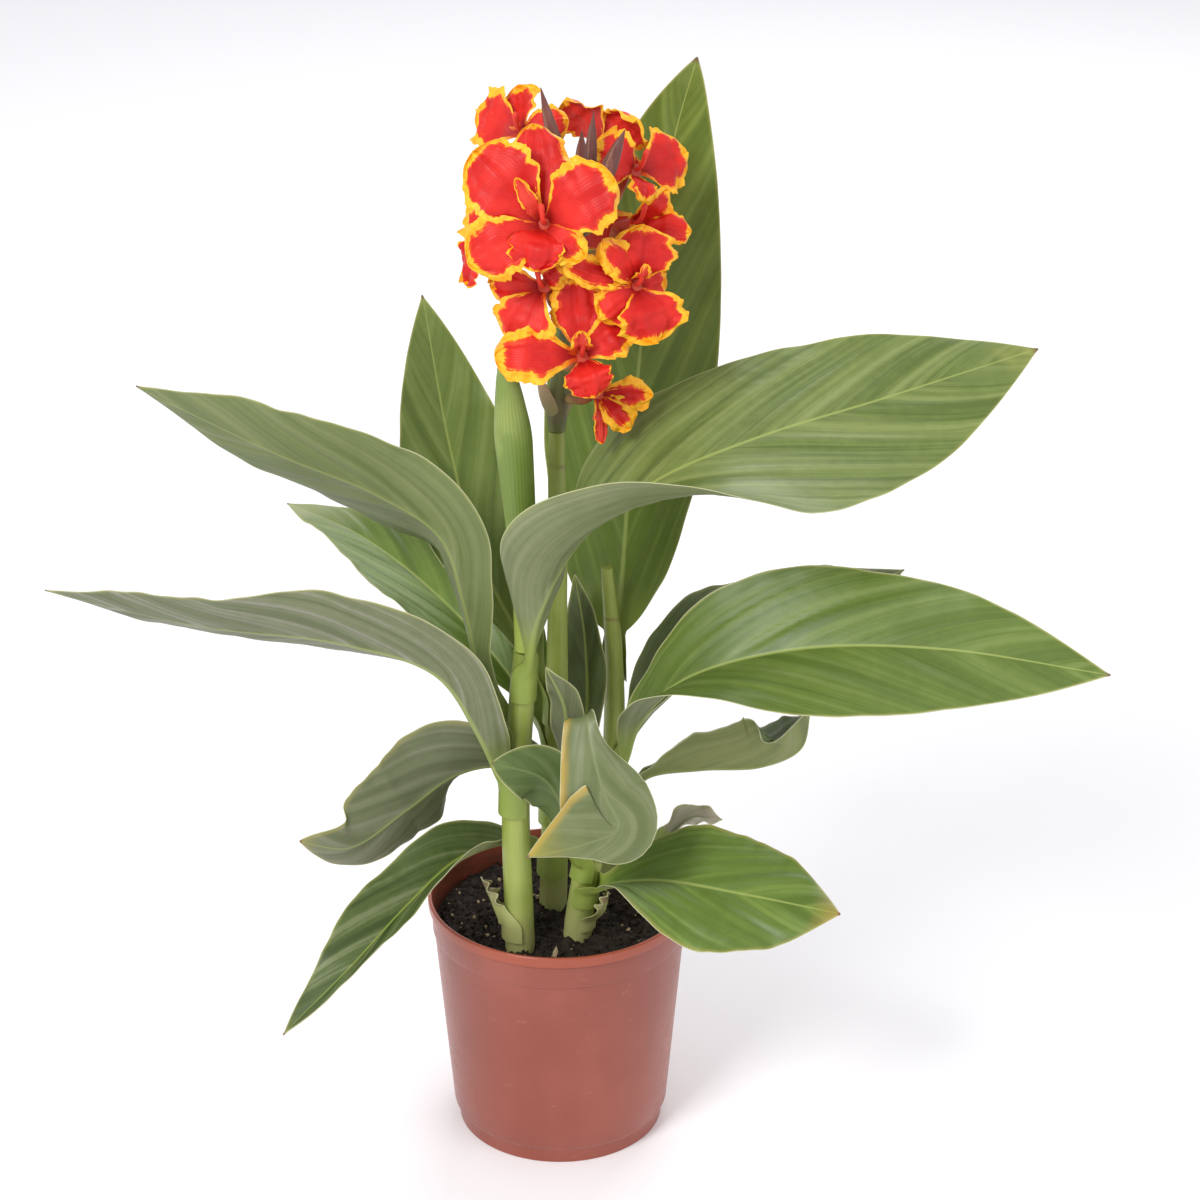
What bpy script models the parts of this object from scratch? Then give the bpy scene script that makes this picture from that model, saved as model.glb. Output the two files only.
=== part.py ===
"""Canna lily in its plastic nursery pot: pot, compost, five leafy shoots, and one flower head.

Metres, +Z up. The origin is the centre of the pot's foot, on the surface that the pot stands on.
Every leaf, petal and bract is the same kind of thing: a thin blade carried along its own midrib.
"""

import math

import bmesh
import bpy
import numpy as np

# The pot.
POT_HEIGHT = 0.145
RIM_RADIUS = 0.075
BODY_TOP_RADIUS = 0.0716
BODY_BASE_RADIUS = 0.0620
LEDGE_HEIGHT = 0.1235
WALL = 0.0014
FOOT_TOP = 0.0120
FOOT_HEIGHT = 0.0075
FOOT_RADIUS = 0.0590
FLOOR_HEIGHT = 0.0100
POT_SIDES = 32
FOOT_GAP_PLACES = (-44.5, -15.5)
FOOT_GAP_WIDTHS = (0.0155, 0.0120)

# The compost and the plain gap that separate pieces keep.
SOIL_LEVEL = 0.130
SOIL_RELIEF = 0.0035
SOIL_SEED = 7
GAP = 0.0003

# Blades: leaves, petals, bracts and sheaths.
LEAF_THICKNESS = 0.0009
RIB_HEIGHT = 0.0016
PETAL_THICKNESS = 0.0008
LEAF_ROWS = 11
LEAF_COLUMNS = 6
PETAL_ROWS = 4
PETAL_COLUMNS = 4
CLASP_DEGREES = 80.0
PETIOLE_HALF_WIDTH = 0.0065
SHEATH_LENGTH = 0.014
STEM_SIDES = 10
SHOOT_FOOT = 0.085
TUBE_DEPTH = 0.008


def clear_scene():
    for thing in list(bpy.data.objects):
        bpy.data.objects.remove(thing)


def material(name, colour, roughness, metallic=0.0):
    """One Principled finish, made once and shared by every piece that has it."""
    found = bpy.data.materials.get(name)
    if found:
        return found
    made = bpy.data.materials.new(name)
    made.use_nodes = True
    shader = made.node_tree.nodes["Principled BSDF"]
    shader.inputs["Base Color"].default_value = (*colour, 1.0)
    shader.inputs["Roughness"].default_value = roughness
    shader.inputs["Metallic"].default_value = metallic
    made.diffuse_color = (*colour, 1.0)
    return made


def leaf_green():
    return material("leaf_green", (0.16, 0.27, 0.06), 0.45)


def stem_green():
    return material("stem_green", (0.30, 0.42, 0.10), 0.40)


def petal_red():
    return material("petal_red", (0.75, 0.03, 0.02), 0.50)


def bud_purple():
    return material("bud_purple", (0.24, 0.10, 0.09), 0.45)


def pot_plastic():
    return material("pot_plastic", (0.36, 0.11, 0.07), 0.32)


def compost():
    return material("compost", (0.025, 0.018, 0.013), 0.95)


def dry_husk():
    return material("dry_husk", (0.24, 0.15, 0.07), 0.80)


def solid(name, points, faces, finish):
    """An object from points and faces, with its faces turned outwards."""
    mesh = bpy.data.meshes.new(name)
    mesh.from_pydata([tuple(p) for p in points], [], [tuple(f) for f in faces])
    shape = bmesh.new()
    shape.from_mesh(mesh)
    bmesh.ops.recalc_face_normals(shape, faces=shape.faces)
    shape.to_mesh(mesh)
    shape.free()
    mesh.shade_smooth()
    mesh.set_sharp_from_angle(angle=math.radians(40))
    made = bpy.data.objects.new(name, mesh)
    made.data.materials.append(finish)
    bpy.context.scene.collection.objects.link(made)
    return made


def apply_boolean(base, others, operation, solver="EXACT"):
    """Joins or cuts base with a group of objects, applies the result, and removes the group."""
    group = bpy.data.collections.new("boolean_group")
    for thing in others:
        group.objects.link(thing)
    step = base.modifiers.new("boolean", "BOOLEAN")
    step.operation = operation
    step.operand_type = "COLLECTION"
    step.collection = group
    step.solver = solver
    bpy.context.view_layer.update()
    graph = bpy.context.evaluated_depsgraph_get()
    result = bpy.data.meshes.new_from_object(base.evaluated_get(graph))
    base.modifiers.clear()
    old = base.data
    base.data = result
    bpy.data.meshes.remove(old)
    for thing in others:
        bpy.data.objects.remove(thing)
    bpy.data.collections.remove(group)
    return base


def unit(v):
    v = np.asarray(v, float)
    return v / np.maximum(np.linalg.norm(v, axis=-1, keepdims=True), 1e-12)


def ease(t):
    """Smooth step from 0 to 1."""
    t = np.clip(t, 0.0, 1.0)
    return t * t * (3.0 - 2.0 * t)


def curve_through(points, count, before=None):
    """A smooth curve through the points, as count points evenly spaced along it.

    before is a point that the curve comes from, so that it carries on in that direction.
    """
    p = np.asarray(points, float)
    first = 2 * p[0] - p[1] if before is None else before
    p = np.vstack([first, p, 2 * p[-1] - p[-2]])
    knots = np.concatenate([[0], np.cumsum(np.linalg.norm(np.diff(p, axis=0), axis=1) ** 0.5)])
    fine = []
    for i in range(1, len(p) - 2):
        t = np.linspace(knots[i], knots[i + 1], 24, endpoint=False)[:, None]
        t0, t1, t2, t3 = knots[i - 1 : i + 3]
        a1 = (t1 - t) / (t1 - t0) * p[i - 1] + (t - t0) / (t1 - t0) * p[i]
        a2 = (t2 - t) / (t2 - t1) * p[i] + (t - t1) / (t2 - t1) * p[i + 1]
        a3 = (t3 - t) / (t3 - t2) * p[i + 1] + (t - t2) / (t3 - t2) * p[i + 2]
        b1 = (t2 - t) / (t2 - t0) * a1 + (t - t0) / (t2 - t0) * a2
        b2 = (t3 - t) / (t3 - t1) * a2 + (t - t1) / (t3 - t1) * a3
        fine.append((t2 - t) / (t2 - t1) * b1 + (t - t1) / (t2 - t1) * b2)
    fine = np.vstack([*fine, p[-2:-1]])
    length = np.concatenate([[0], np.cumsum(np.linalg.norm(np.diff(fine, axis=0), axis=1))])
    return resampled(fine, length, np.linspace(0, 1, count)), length[-1]


def resampled(line, length, shares):
    return np.stack([np.interp(shares * length[-1], length, line[:, k]) for k in range(3)], axis=1)


def along(values, t):
    """Values given at evenly spaced stations, read smoothly at each t from 0 to 1."""
    values = np.asarray(values, float)
    stations = np.linspace(0, 1, len(values))
    if values.ndim == 1:
        return np.interp(t, stations, values)
    return np.stack([np.interp(t, stations, values[:, k]) for k in range(values.shape[1])], axis=1)


def blade_surface(path, faces, half_width, rise, curl, columns, wave=(0.0, 0.0, 0.0)):
    """The middle surface of a blade, as rows of points across its midrib.

    Each row starts out from the midrib at the angle rise and turns by curl more on its way to
    the margin, on the left and on the right side by itself. Positive angles turn towards the
    face. wave is the height, the count and the phase of the margin's waves.
    """
    rows = len(path)
    tangent = unit(np.gradient(path, axis=0))
    normal = faces - (faces * tangent).sum(1, keepdims=True) * tangent
    normal = unit(normal)
    side = np.cross(tangent, normal)
    share = np.linspace(-1, 1, columns + 1)
    surface = np.empty((rows, columns + 1, 3))
    t = np.linspace(0, 1, rows)
    for j, q in enumerate(share):
        k = 0 if q < 0 else 1
        start = np.radians(rise[:, k])
        turn = np.radians(curl[:, k])
        turn = np.where(np.abs(turn) < 1e-4, 1e-4, turn)
        reach = half_width[:, k] / turn
        end = start + turn * abs(q)
        out = reach * (np.sin(end) - np.sin(start)) * np.sign(q)
        lift = reach * (np.cos(start) - np.cos(end))
        height, count, phase = wave
        lift = lift + height * q * q * np.sin(2 * math.pi * (count * t + phase * (1 + k))) * ease(4 * (1 - t))
        surface[:, j] = path + side * out[:, None] + normal * lift[:, None]
    return surface


def surface_normals(surface):
    down = np.gradient(surface, axis=0)
    across = np.gradient(surface, axis=1)
    return unit(np.cross(across, down))


def thickened(surface, thickness, rib=None):
    """A closed blade round its middle surface. rib lowers the back's middle column."""
    rows, columns = surface.shape[:2]
    normals = surface_normals(surface)
    top = surface + normals * thickness / 2
    back = surface - normals * thickness / 2
    if rib is not None:
        middle = columns // 2
        back[:, middle] -= normals[:, middle] * rib[:, None]
    points = np.vstack([top.reshape(-1, 3), back.reshape(-1, 3)])
    under = rows * columns
    faces = []
    for i in range(rows - 1):
        for j in range(columns - 1):
            a, b = i * columns + j, i * columns + j + 1
            c, d = a + columns, b + columns
            cuts = ((a, b, d), (a, d, c)) if j < (columns - 1) // 2 else ((a, b, c), (b, d, c))
            faces += [cut for cut in cuts]
            faces += [tuple(v + under for v in reversed(cut)) for cut in cuts]
    edge = [j for j in range(columns)]
    edge += [i * columns + columns - 1 for i in range(1, rows)]
    edge += [(rows - 1) * columns + j for j in range(columns - 2, -1, -1)]
    edge += [i * columns for i in range(rows - 2, 0, -1)]
    for a, b in zip(edge, edge[1:] + edge[:1]):
        faces += [(a, a + under, b), (b, a + under, b + under)]
    return points, faces


def tube(path, radii, sides):
    """Points and faces of a closed tube of changing radius along a path."""
    path = np.asarray(path, float)
    tangent = unit(np.gradient(path, axis=0))
    helper = np.array([0.0, 1.0, 0.0]) if abs(tangent[0][1]) < 0.9 else np.array([1.0, 0.0, 0.0])
    first = unit(np.cross(tangent, helper))
    second = np.cross(tangent, first)
    angles = np.arange(sides) * 2 * math.pi / sides
    ring = (
        first[:, None] * np.cos(angles)[None, :, None]
        + second[:, None] * np.sin(angles)[None, :, None]
    )
    points = (path[:, None] + ring * np.asarray(radii, float)[:, None, None]).reshape(-1, 3)
    faces = []
    for i in range(len(path) - 1):
        for j in range(sides):
            a, b = i * sides + j, i * sides + (j + 1) % sides
            faces += [(a, b, b + sides), (a, b + sides, a + sides)]
    points = np.vstack([points, path[:1], path[-1:]])
    foot, head = len(points) - 2, len(points) - 1
    last = (len(path) - 1) * sides
    for j in range(sides):
        faces.append((foot, (j + 1) % sides, j))
        faces.append((head, last + j, last + (j + 1) % sides))
    return points, faces


# The shoots: each a list of points up its axis, with the radius there.
SHOOTS = {
    "shoot_front": dict(
        axis=[(-0.021, -0.034, 0.085), (-0.022, -0.038, 0.150), (-0.023, -0.040, 0.226), (-0.017, -0.039, 0.316)],
        radii=[0.0088, 0.0084, 0.0078, 0.0066],
        joints=[0.255, 0.300],
    ),
    "shoot_flowering": dict(
        axis=[(-0.005, 0.012, 0.085), (-0.002, 0.008, 0.200), (0.000, 0.004, 0.340), (0.000, 0.000, 0.428)],
        radii=[0.0085, 0.0078, 0.0056, 0.0046],
        joints=[0.240, 0.352, 0.405],
    ),
    "shoot_right": dict(
        axis=[(0.008, -0.020, 0.085), (0.012, -0.024, 0.145), (0.021, -0.027, 0.200), (0.031, -0.027, 0.242)],
        radii=[0.0088, 0.0084, 0.0074, 0.0060],
        joints=[0.180, 0.215],
    ),
    "shoot_back": dict(
        axis=[(0.030, 0.034, 0.085), (0.031, 0.032, 0.200), (0.031, 0.030, 0.280), (0.027, 0.030, 0.334)],
        radii=[0.0080, 0.0074, 0.0060, 0.0034],
        joints=[0.215, 0.300],
    ),
    "shoot_small": dict(
        axis=[(0.046, 0.018, 0.085), (0.048, 0.022, 0.130), (0.051, 0.026, 0.156)],
        radii=[0.0040, 0.0036, 0.0030],
        joints=[0.144],
    ),
}

# The leaves. leaves_at is the height where the blade parts from its shoot, path the midrib from
# there to the tip, faces the way the upper side looks from base to tip, width the full width.
# rise and curl are (left, right) angles at evenly spaced places from the blade's base to its tip.
LEAVES = {
    "leaf_right_upper": dict(
        shoot="shoot_front", leaves_at=0.302, width=0.134, widest=0.50,
        path=[(-0.009, -0.062, 0.348), (0.012, -0.066, 0.392), (0.052, -0.056, 0.422),
              (0.107, -0.034, 0.438), (0.172, -0.006, 0.448), (0.259, 0.030, 0.463)],
        faces=[(-0.2, 0.6, 0.8), (-0.25, -0.1, 1.0), (-0.2, -0.5, 0.9), (-0.1, -0.6, 0.8)],
        rise=[(30, 15), (12, 0), (8, -8), (5, -5), (5, 5)],
        curl=[(30, 140), (-10, 110), (-10, 10), (-10, -10), (-10, -10)],
        shares=[(0.7, 1.0), (1.0, 1.0), (0.92, 1.0), (0.92, 1.0)],
    ),
    "leaf_right_middle": dict(
        shoot="shoot_right", leaves_at=0.236, width=0.092, widest=0.45,
        path=[(0.045, -0.036, 0.272), (0.071, -0.050, 0.305), (0.129, -0.062, 0.328),
              (0.202, -0.072, 0.333), (0.291, -0.085, 0.324)],
        faces=[(-0.5, 0.2, 0.8), (-0.3, -0.5, 0.9), (0.1, -0.7, 0.7), (0.2, -0.8, 0.6)],
        rise=[(40, 40), (12, 8), (5, 5)], curl=[(30, 30), (-5, -5), (-10, -10)],
        shares=[(0.5, 0.8), (1.0, 1.0), (0.95, 1.0), (1.0, 1.0)],
    ),
    "leaf_right_back": dict(
        shoot="shoot_back", leaves_at=0.222, width=0.072, widest=0.42,
        path=[(0.054, 0.024, 0.250), (0.082, 0.040, 0.272), (0.135, 0.075, 0.283), (0.200, 0.110, 0.296)],
        faces=[(-0.5, -0.3, 0.8), (-0.3, -0.5, 0.9), (0.0, -0.5, 0.9)],
        rise=[(35, 35), (15, 15), (5, 5)], curl=[(30, 30), (10, 10), (-10, -10)],
    ),
    "leaf_right_rolled": dict(
        shoot="shoot_back", leaves_at=0.186, width=0.080, widest=0.60,
        path=[(0.050, 0.020, 0.208), (0.080, 0.018, 0.214), (0.115, 0.016, 0.217),
              (0.136, 0.014, 0.229), (0.141, 0.012, 0.255)],
        faces=[(-0.4, 0.2, 0.9), (0.0, 0.1, 1.0), (-0.3, 0.1, 1.0), (-0.8, 0.0, 0.6)],
        rise=[(30, 30), (15, 60), (15, 60), (10, 45)], curl=[(10, 10), (0, 20), (0, 10), (-10, 0)],
    ),
    "leaf_right_lower": dict(
        shoot="shoot_right", leaves_at=0.161, width=0.080, widest=0.52, sheath=0.009,
        path=[(0.029, -0.048, 0.176), (0.056, -0.064, 0.188), (0.102, -0.086, 0.192), (0.152, -0.105, 0.191)],
        faces=[(-0.3, 0.1, 1.0), (0.0, -0.45, 0.9), (0.15, -0.5, 0.85)],
        rise=[(40, 40), (10, 0), (0, 0)], curl=[(20, 20), (-25, -20), (-20, -10)],
    ),
    "leaf_front_drooping": dict(
        shoot="shoot_right", leaves_at=0.196, width=0.062, widest=0.72, sheath=0.010,
        path=[(0.018, -0.049, 0.240), (0.015, -0.055, 0.280), (0.016, -0.066, 0.290), (0.019, -0.078, 0.276),
              (0.026, -0.089, 0.254), (0.033, -0.096, 0.239), (0.016, -0.101, 0.232), (-0.016, -0.105, 0.226)],
        faces=[(0.0, 1.0, 0.3), (0.0, 0.6, 1.0), (-0.1, -0.9, 0.4), (-0.1, -0.95, 0.3), (-0.2, -0.95, 0.3)],
        rise=[(40, 40), (0, 0), (0, 0)], curl=[(30, 30), (-30, 0), (-20, 0)],
        shares=[(1.0, 1.0), (0.7, 0.8), (0.4, 0.8), (0.3, 0.75), (0.25, 0.7), (0.8, 0.8), (0.7, 1.0), (0.2, 1.0),
                (0.2, 0.8)],
    ),
    "leaf_left_lower": dict(
        shoot="shoot_flowering", leaves_at=0.200, width=0.076, widest=0.42, sharpness=0.8,
        path=[(-0.022, -0.006, 0.224), (-0.036, -0.010, 0.231), (-0.058, -0.018, 0.229),
              (-0.084, -0.030, 0.214), (-0.115, -0.042, 0.197), (-0.142, -0.048, 0.204)],
        faces=[(0.6, 0.5, 0.7), (0.3, 0.8, 0.6), (0.0, 0.9, 0.4), (0.0, 0.9, 0.3)],
        rise=[(35, 35), (5, 5), (0, 0)], curl=[(20, 20), (20, 20), (10, 30)],
    ),
    "leaf_front_dark": dict(
        shoot="shoot_right", leaves_at=0.178, width=0.036, widest=0.62, sheath=0.008, rows=9, columns=4,
        sharpness=0.8, clasp=45, spare=0.0008,
        path=[(0.004, -0.048, 0.204), (0.002, -0.060, 0.234), (-0.008, -0.064, 0.252), (-0.035, -0.066, 0.262)],
        faces=[(0.1, 1.0, 0.2), (0.2, 0.9, -0.3), (0.3, 0.85, -0.45)],
        rise=[(35, 35), (5, 5), (0, 0)], curl=[(20, 20), (0, 0), (0, 0)],
    ),
    "leaf_left_bottom": dict(
        shoot="shoot_flowering", leaves_at=0.166, width=0.050, widest=0.50,
        path=[(-0.024, -0.014, 0.184), (-0.038, -0.028, 0.190), (-0.058, -0.048, 0.190),
              (-0.083, -0.078, 0.179), (-0.111, -0.112, 0.162), (-0.146, -0.138, 0.136)],
        faces=[(0.5, 0.3, 0.8), (0.3, 0.3, 0.9), (-0.4, -0.3, 0.9), (-0.5, -0.4, 0.8)],
        rise=[(45, 45), (30, 25), (20, 20)], curl=[(20, 20), (15, 15), (0, 0)],
    ),
    "leaf_left_long": dict(
        shoot="shoot_front", leaves_at=0.232, width=0.072, widest=0.46,
        path=[(-0.043, -0.056, 0.276), (-0.064, -0.054, 0.309), (-0.115, -0.034, 0.318),
              (-0.198, 0.008, 0.309), (-0.291, 0.060, 0.306)],
        faces=[(0.5, 0.6, 0.6), (0.2, 0.8, 0.6), (0.0, 0.8, 0.7), (0.0, 0.8, 0.7)],
        rise=[(35, 35), (0, 0), (0, 0)], curl=[(20, 30), (20, 30), (10, 10)],
    ),
    "leaf_left_upper": dict(
        shoot="shoot_front", leaves_at=0.262, width=0.096, widest=0.46,
        path=[(-0.042, -0.032, 0.298), (-0.050, -0.026, 0.338), (-0.062, -0.012, 0.370),
              (-0.095, 0.006, 0.387), (-0.154, 0.032, 0.402), (-0.233, 0.065, 0.428)],
        faces=[(0.8, 0.6, 0.2), (0.5, 0.8, 0.4), (0.1, 0.85, 0.5), (0.1, 0.8, 0.6)],
        rise=[(35, 35), (0, 0), (0, 0)], curl=[(30, 30), (10, 30), (10, 10)],
        shares=[(0.25, 1.0), (0.5, 1.0), (0.9, 1.0), (1.0, 1.0), (1.0, 1.0)],
    ),
    "leaf_left_upright": dict(
        shoot="shoot_flowering", leaves_at=0.264, width=0.072, widest=0.45,
        path=[(-0.024, 0.026, 0.296), (-0.044, 0.050, 0.330), (-0.060, 0.070, 0.385), (-0.075, 0.085, 0.474)],
        faces=[(0.6, -0.7, 0.3), (0.3, -0.9, 0.2), (0.2, -0.9, 0.1)],
        rise=[(35, 35), (20, 15), (10, 10)], curl=[(30, 30), (5, 5), (0, 0)],
    ),
    "leaf_left_back": dict(
        shoot="shoot_flowering", leaves_at=0.234, width=0.082, widest=0.40,
        path=[(-0.024, 0.026, 0.262), (-0.050, 0.046, 0.288), (-0.085, 0.080, 0.308),
              (-0.118, 0.108, 0.320), (-0.160, 0.140, 0.325)],
        faces=[(0.5, -0.5, 0.7), (0.3, -0.7, 0.7), (0.3, -0.3, 0.9), (0.2, -0.2, 1.0)],
        rise=[(35, 35), (20, 20), (5, 5)], curl=[(30, 30), (10, 10), (0, 0)],
    ),
    "leaf_right_upright": dict(
        shoot="shoot_back", leaves_at=0.276, width=0.100, widest=0.40, sharpness=0.85,
        path=[(0.036, 0.056, 0.318), (0.042, 0.076, 0.400), (0.051, 0.088, 0.490),
              (0.063, 0.086, 0.562), (0.075, 0.080, 0.610)],
        faces=[(-0.5, -0.8, 0.2), (-0.3, -1.0, 0.2), (-0.1, -1.0, 0.1), (0.0, -1.0, 0.1)],
        rise=[(15, 15), (10, 15), (5, 10)], curl=[(15, 15), (0, 10), (0, 0)],
    ),
    "leaf_middle_small": dict(
        shoot="shoot_flowering", leaves_at=0.213, width=0.026, widest=0.45, rows=9, columns=4, sheath=0.008, clasp=50,
        path=[(0.015, 0.018, 0.240), (0.015, 0.027, 0.290), (0.009, 0.036, 0.328)],
        faces=[(-0.3, -0.9, 0.2), (-0.3, -0.9, 0.3)],
        rise=[(20, 20), (10, 10)], curl=[(10, 10), (0, 0)],
    ),
    "husk_left": dict(
        shoot="shoot_front", leaves_at=0.146, width=0.014, widest=0.30, rows=7, columns=4, sheath=0.008,
        path=[(-0.036, -0.040, 0.160), (-0.043, -0.038, 0.176)],
        faces=[(0.9, 0.1, 0.4), (0.8, 0.1, 0.6)], husk=True,
        rise=[(20, 20), (10, 10)], curl=[(30, 30), (10, 10)],
    ),
    "husk_right": dict(
        shoot="shoot_right", leaves_at=0.143, width=0.012, widest=0.30, rows=7, columns=4, sheath=0.006, clasp=60,
        path=[(0.025, -0.034, 0.152), (0.028, -0.037, 0.166)],
        faces=[(-0.9, 0.3, 0.4), (-0.8, 0.3, 0.6)], husk=True,
        rise=[(20, 20), (10, 10)], curl=[(30, 30), (10, 10)],
    ),
    "leaf_inner_small": dict(
        shoot="shoot_right", leaves_at=0.222, width=0.022, widest=0.50, rows=9, columns=4, sheath=0.003, clasp=25, spare=0.0012,
        path=[(0.006, -0.038, 0.250), (0.004, -0.046, 0.286), (-0.006, -0.050, 0.312)],
        faces=[(0.2, 0.9, 0.2), (0.2, 0.9, 0.3)],
        rise=[(35, 35), (10, 10)], curl=[(20, 20), (0, 0)],
    ),
    "leaf_small": dict(
        shoot="shoot_small", leaves_at=0.150, width=0.018, widest=0.45, rows=9, columns=4, sheath=0.008, petiole=0.016,
        path=[(0.064, 0.034, 0.162), (0.076, 0.040, 0.170), (0.094, 0.042, 0.168)],
        faces=[(-0.3, -0.2, 0.9), (0.0, -0.5, 0.9)],
        rise=[(35, 35), (10, 10)], curl=[(20, 20), (0, 0)],
    ),
}

# Each bloom sits at the end of its own short tube. from_height is where that leaves the stalk,
# throat its open end, turn how far the bloom looks round from the front. Each petal has its tip
# from the throat (right, up, out, in mm as the bloom looks), the outward bow of its middle, its
# width, and the place of its widest part.
BLOOMS = {
    "bloom_front": dict(
        from_height=0.514, throat=(-0.005, -0.040, 0.557), turn=-8,
        petals=[(-37, 34, 8, 5, 36, 0.60), (-9, 50, -6, 4, 28, 0.60), (36, 24, 10, 6, 34, 0.62),
                (-37, -22, 6, 6, 29, 0.65), (-4, -24, 8, 6, 24, 0.60), (-13, 22, 17, 4, 9, 0.50)],
    ),
    "bloom_low": dict(
        from_height=0.466, throat=(0.014, -0.036, 0.484), turn=0,
        petals=[(-4, 40, 8, -2, 24, 0.60), (-45, 1, 14, 5, 25, 0.62), (6, -21, 8, 6, 22, 0.60),
                (-1, 13, 15, 3, 11, 0.50)],
    ),
    "bloom_right": dict(
        from_height=0.490, throat=(0.042, -0.026, 0.519), turn=25,
        petals=[(6, 30, 6, 6, 30, 0.60), (4, -30, 6, 5, 33, 0.60), (-20, 25, 10, 4, 17, 0.60),
                (-42, 17, 12, -2, 15, 0.65), (1, 10, 14, 3, 9, 0.50)],
    ),
    "bloom_right_far": dict(
        from_height=0.524, throat=(0.040, 0.014, 0.538), turn=60,
        petals=[(13, 12, 20, 4, 16, 0.60), (12, -12, 26, 4, 17, 0.70), (-14, -12, 14, 3, 16, 0.60)],
    ),
    "bloom_right_top": dict(
        from_height=0.538, throat=(0.042, 0.020, 0.566), turn=35,
        petals=[(34, 4, 0, 3, 30, 0.55), (-24, 16, 2, 4, 26, 0.60), (-8, -16, 14, 3, 15, 0.60)],
    ),
    "bloom_top": dict(
        from_height=0.546, throat=(0.024, 0.034, 0.574), turn=150,
        petals=[(20, 24, 4, 4, 28, 0.60), (-20, 16, 8, 5, 26, 0.60), (-4, -24, 12, 4, 26, 0.60)],
    ),
    "bloom_top_left": dict(
        spare=0.0010,
        from_height=0.536, throat=(-0.016, 0.014, 0.588), turn=-40,
        petals=[(-34, 6, 0, 4, 28, 0.60), (-14, 22, -4, 3, 24, 0.60), (20, 12, -8, 3, 18, 0.60)],
    ),
    "bloom_left": dict(
        from_height=0.524, throat=(-0.028, -0.012, 0.540), turn=-60,
        petals=[(-20, 14, 8, 6, 26, 0.60), (-8, -28, 8, 8, 24, 0.60), (18, 8, 14, 4, 16, 0.60)],
    ),
    "bloom_left_low": dict(
        from_height=0.496, throat=(-0.006, -0.028, 0.519), turn=-20,
        petals=[(-12, -33, 2, 5, 32, 0.62), (-30, -2, -2, 4, 20, 0.60), (12, 12, 6, 3, 14, 0.60)],
    ),
    "bloom_bottom": dict(
        from_height=0.448, throat=(0.022, -0.021, 0.457), turn=20,
        petals=[(28, -4, 6, 4, 16, 0.60), (14, -20, 6, 4, 15, 0.60), (-2, -26, 2, 2, 8, 0.60)],
    ),
    "bloom_back": dict(
        from_height=0.482, throat=(0.006, 0.036, 0.516), turn=180,
        petals=[(-34, 20, 6, 6, 32, 0.60), (4, 34, 4, 4, 28, 0.60), (34, 14, 6, 6, 30, 0.60), (0, -28, 8, 6, 26, 0.60)],
    ),
}

# The unopened buds near the top of the head: height on the stalk, tip, greatest radius.
BUDS = {
    "bud_left": (0.553, (-0.007, -0.005, 0.618), 0.0042),
    "bud_middle": (0.549, (0.014, -0.020, 0.600), 0.0044),
    "bud_back": (0.555, (0.020, 0.006, 0.602), 0.0034),
    "bud_right": (0.552, (0.036, -0.006, 0.596), 0.0046),
    "bud_low": (0.534, (0.004, -0.024, 0.580), 0.0038),
}

# The flower stalk: points up its middle, and its radius at shares of its length.
STALK = [(0.000, 0.000, 0.4285), (0.001, 0.000, 0.450), (0.006, -0.001, 0.490), (0.012, -0.001, 0.530),
         (0.013, -0.001, 0.5595)]
STALK_RADII = ((0, 0.10, 0.22, 0.6, 1), (0.0046, 0.0062, 0.0046, 0.0036, 0.0026))


def shoot_axis(name, height):
    """Centre of a shoot at a height, and its radius there."""
    shoot = SHOOTS[name]
    line, _ = curve_through(shoot["axis"], 60)
    radii = np.interp(np.linspace(0, 1, 60), np.linspace(0, 1, len(shoot["radii"])), shoot["radii"])
    centre = np.array([np.interp(height, line[:, 2], line[:, k]) for k in range(3)])
    return centre, float(np.interp(height, line[:, 2], radii))


def build_shoot(name):
    """A shoot is a stack of leaf sheaths, so its stem steps in a little above each joint."""
    shoot = SHOOTS[name]
    line, _ = curve_through(shoot["axis"], 60)
    heights = list(np.linspace(line[0, 2], line[-1, 2], 6))
    for joint in shoot["joints"]:
        heights += [joint - 0.002, joint + 0.001]
    heights = sorted(set(round(h, 5) for h in heights))
    path = []
    radii = []
    for height in heights:
        centre, radius = shoot_axis(name, height)
        above = any(joint - 0.003 < height < joint for joint in shoot["joints"])
        path.append(centre)
        radii.append(radius * (1.0 if above else 0.955))
    points, faces = tube(path, radii, STEM_SIDES)
    return solid(name, points, faces, stem_green())


def blade_width(t, widest, sharpness):
    """Share of the full half width along a blade: 0 at both ends, 1 at widest."""
    after = sharpness
    before = after * widest / (1 - widest)
    peak = widest**before * (1 - widest) ** after
    return np.clip(t, 0, 1) ** before * np.clip(1 - t, 0, 1) ** after / peak


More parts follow.
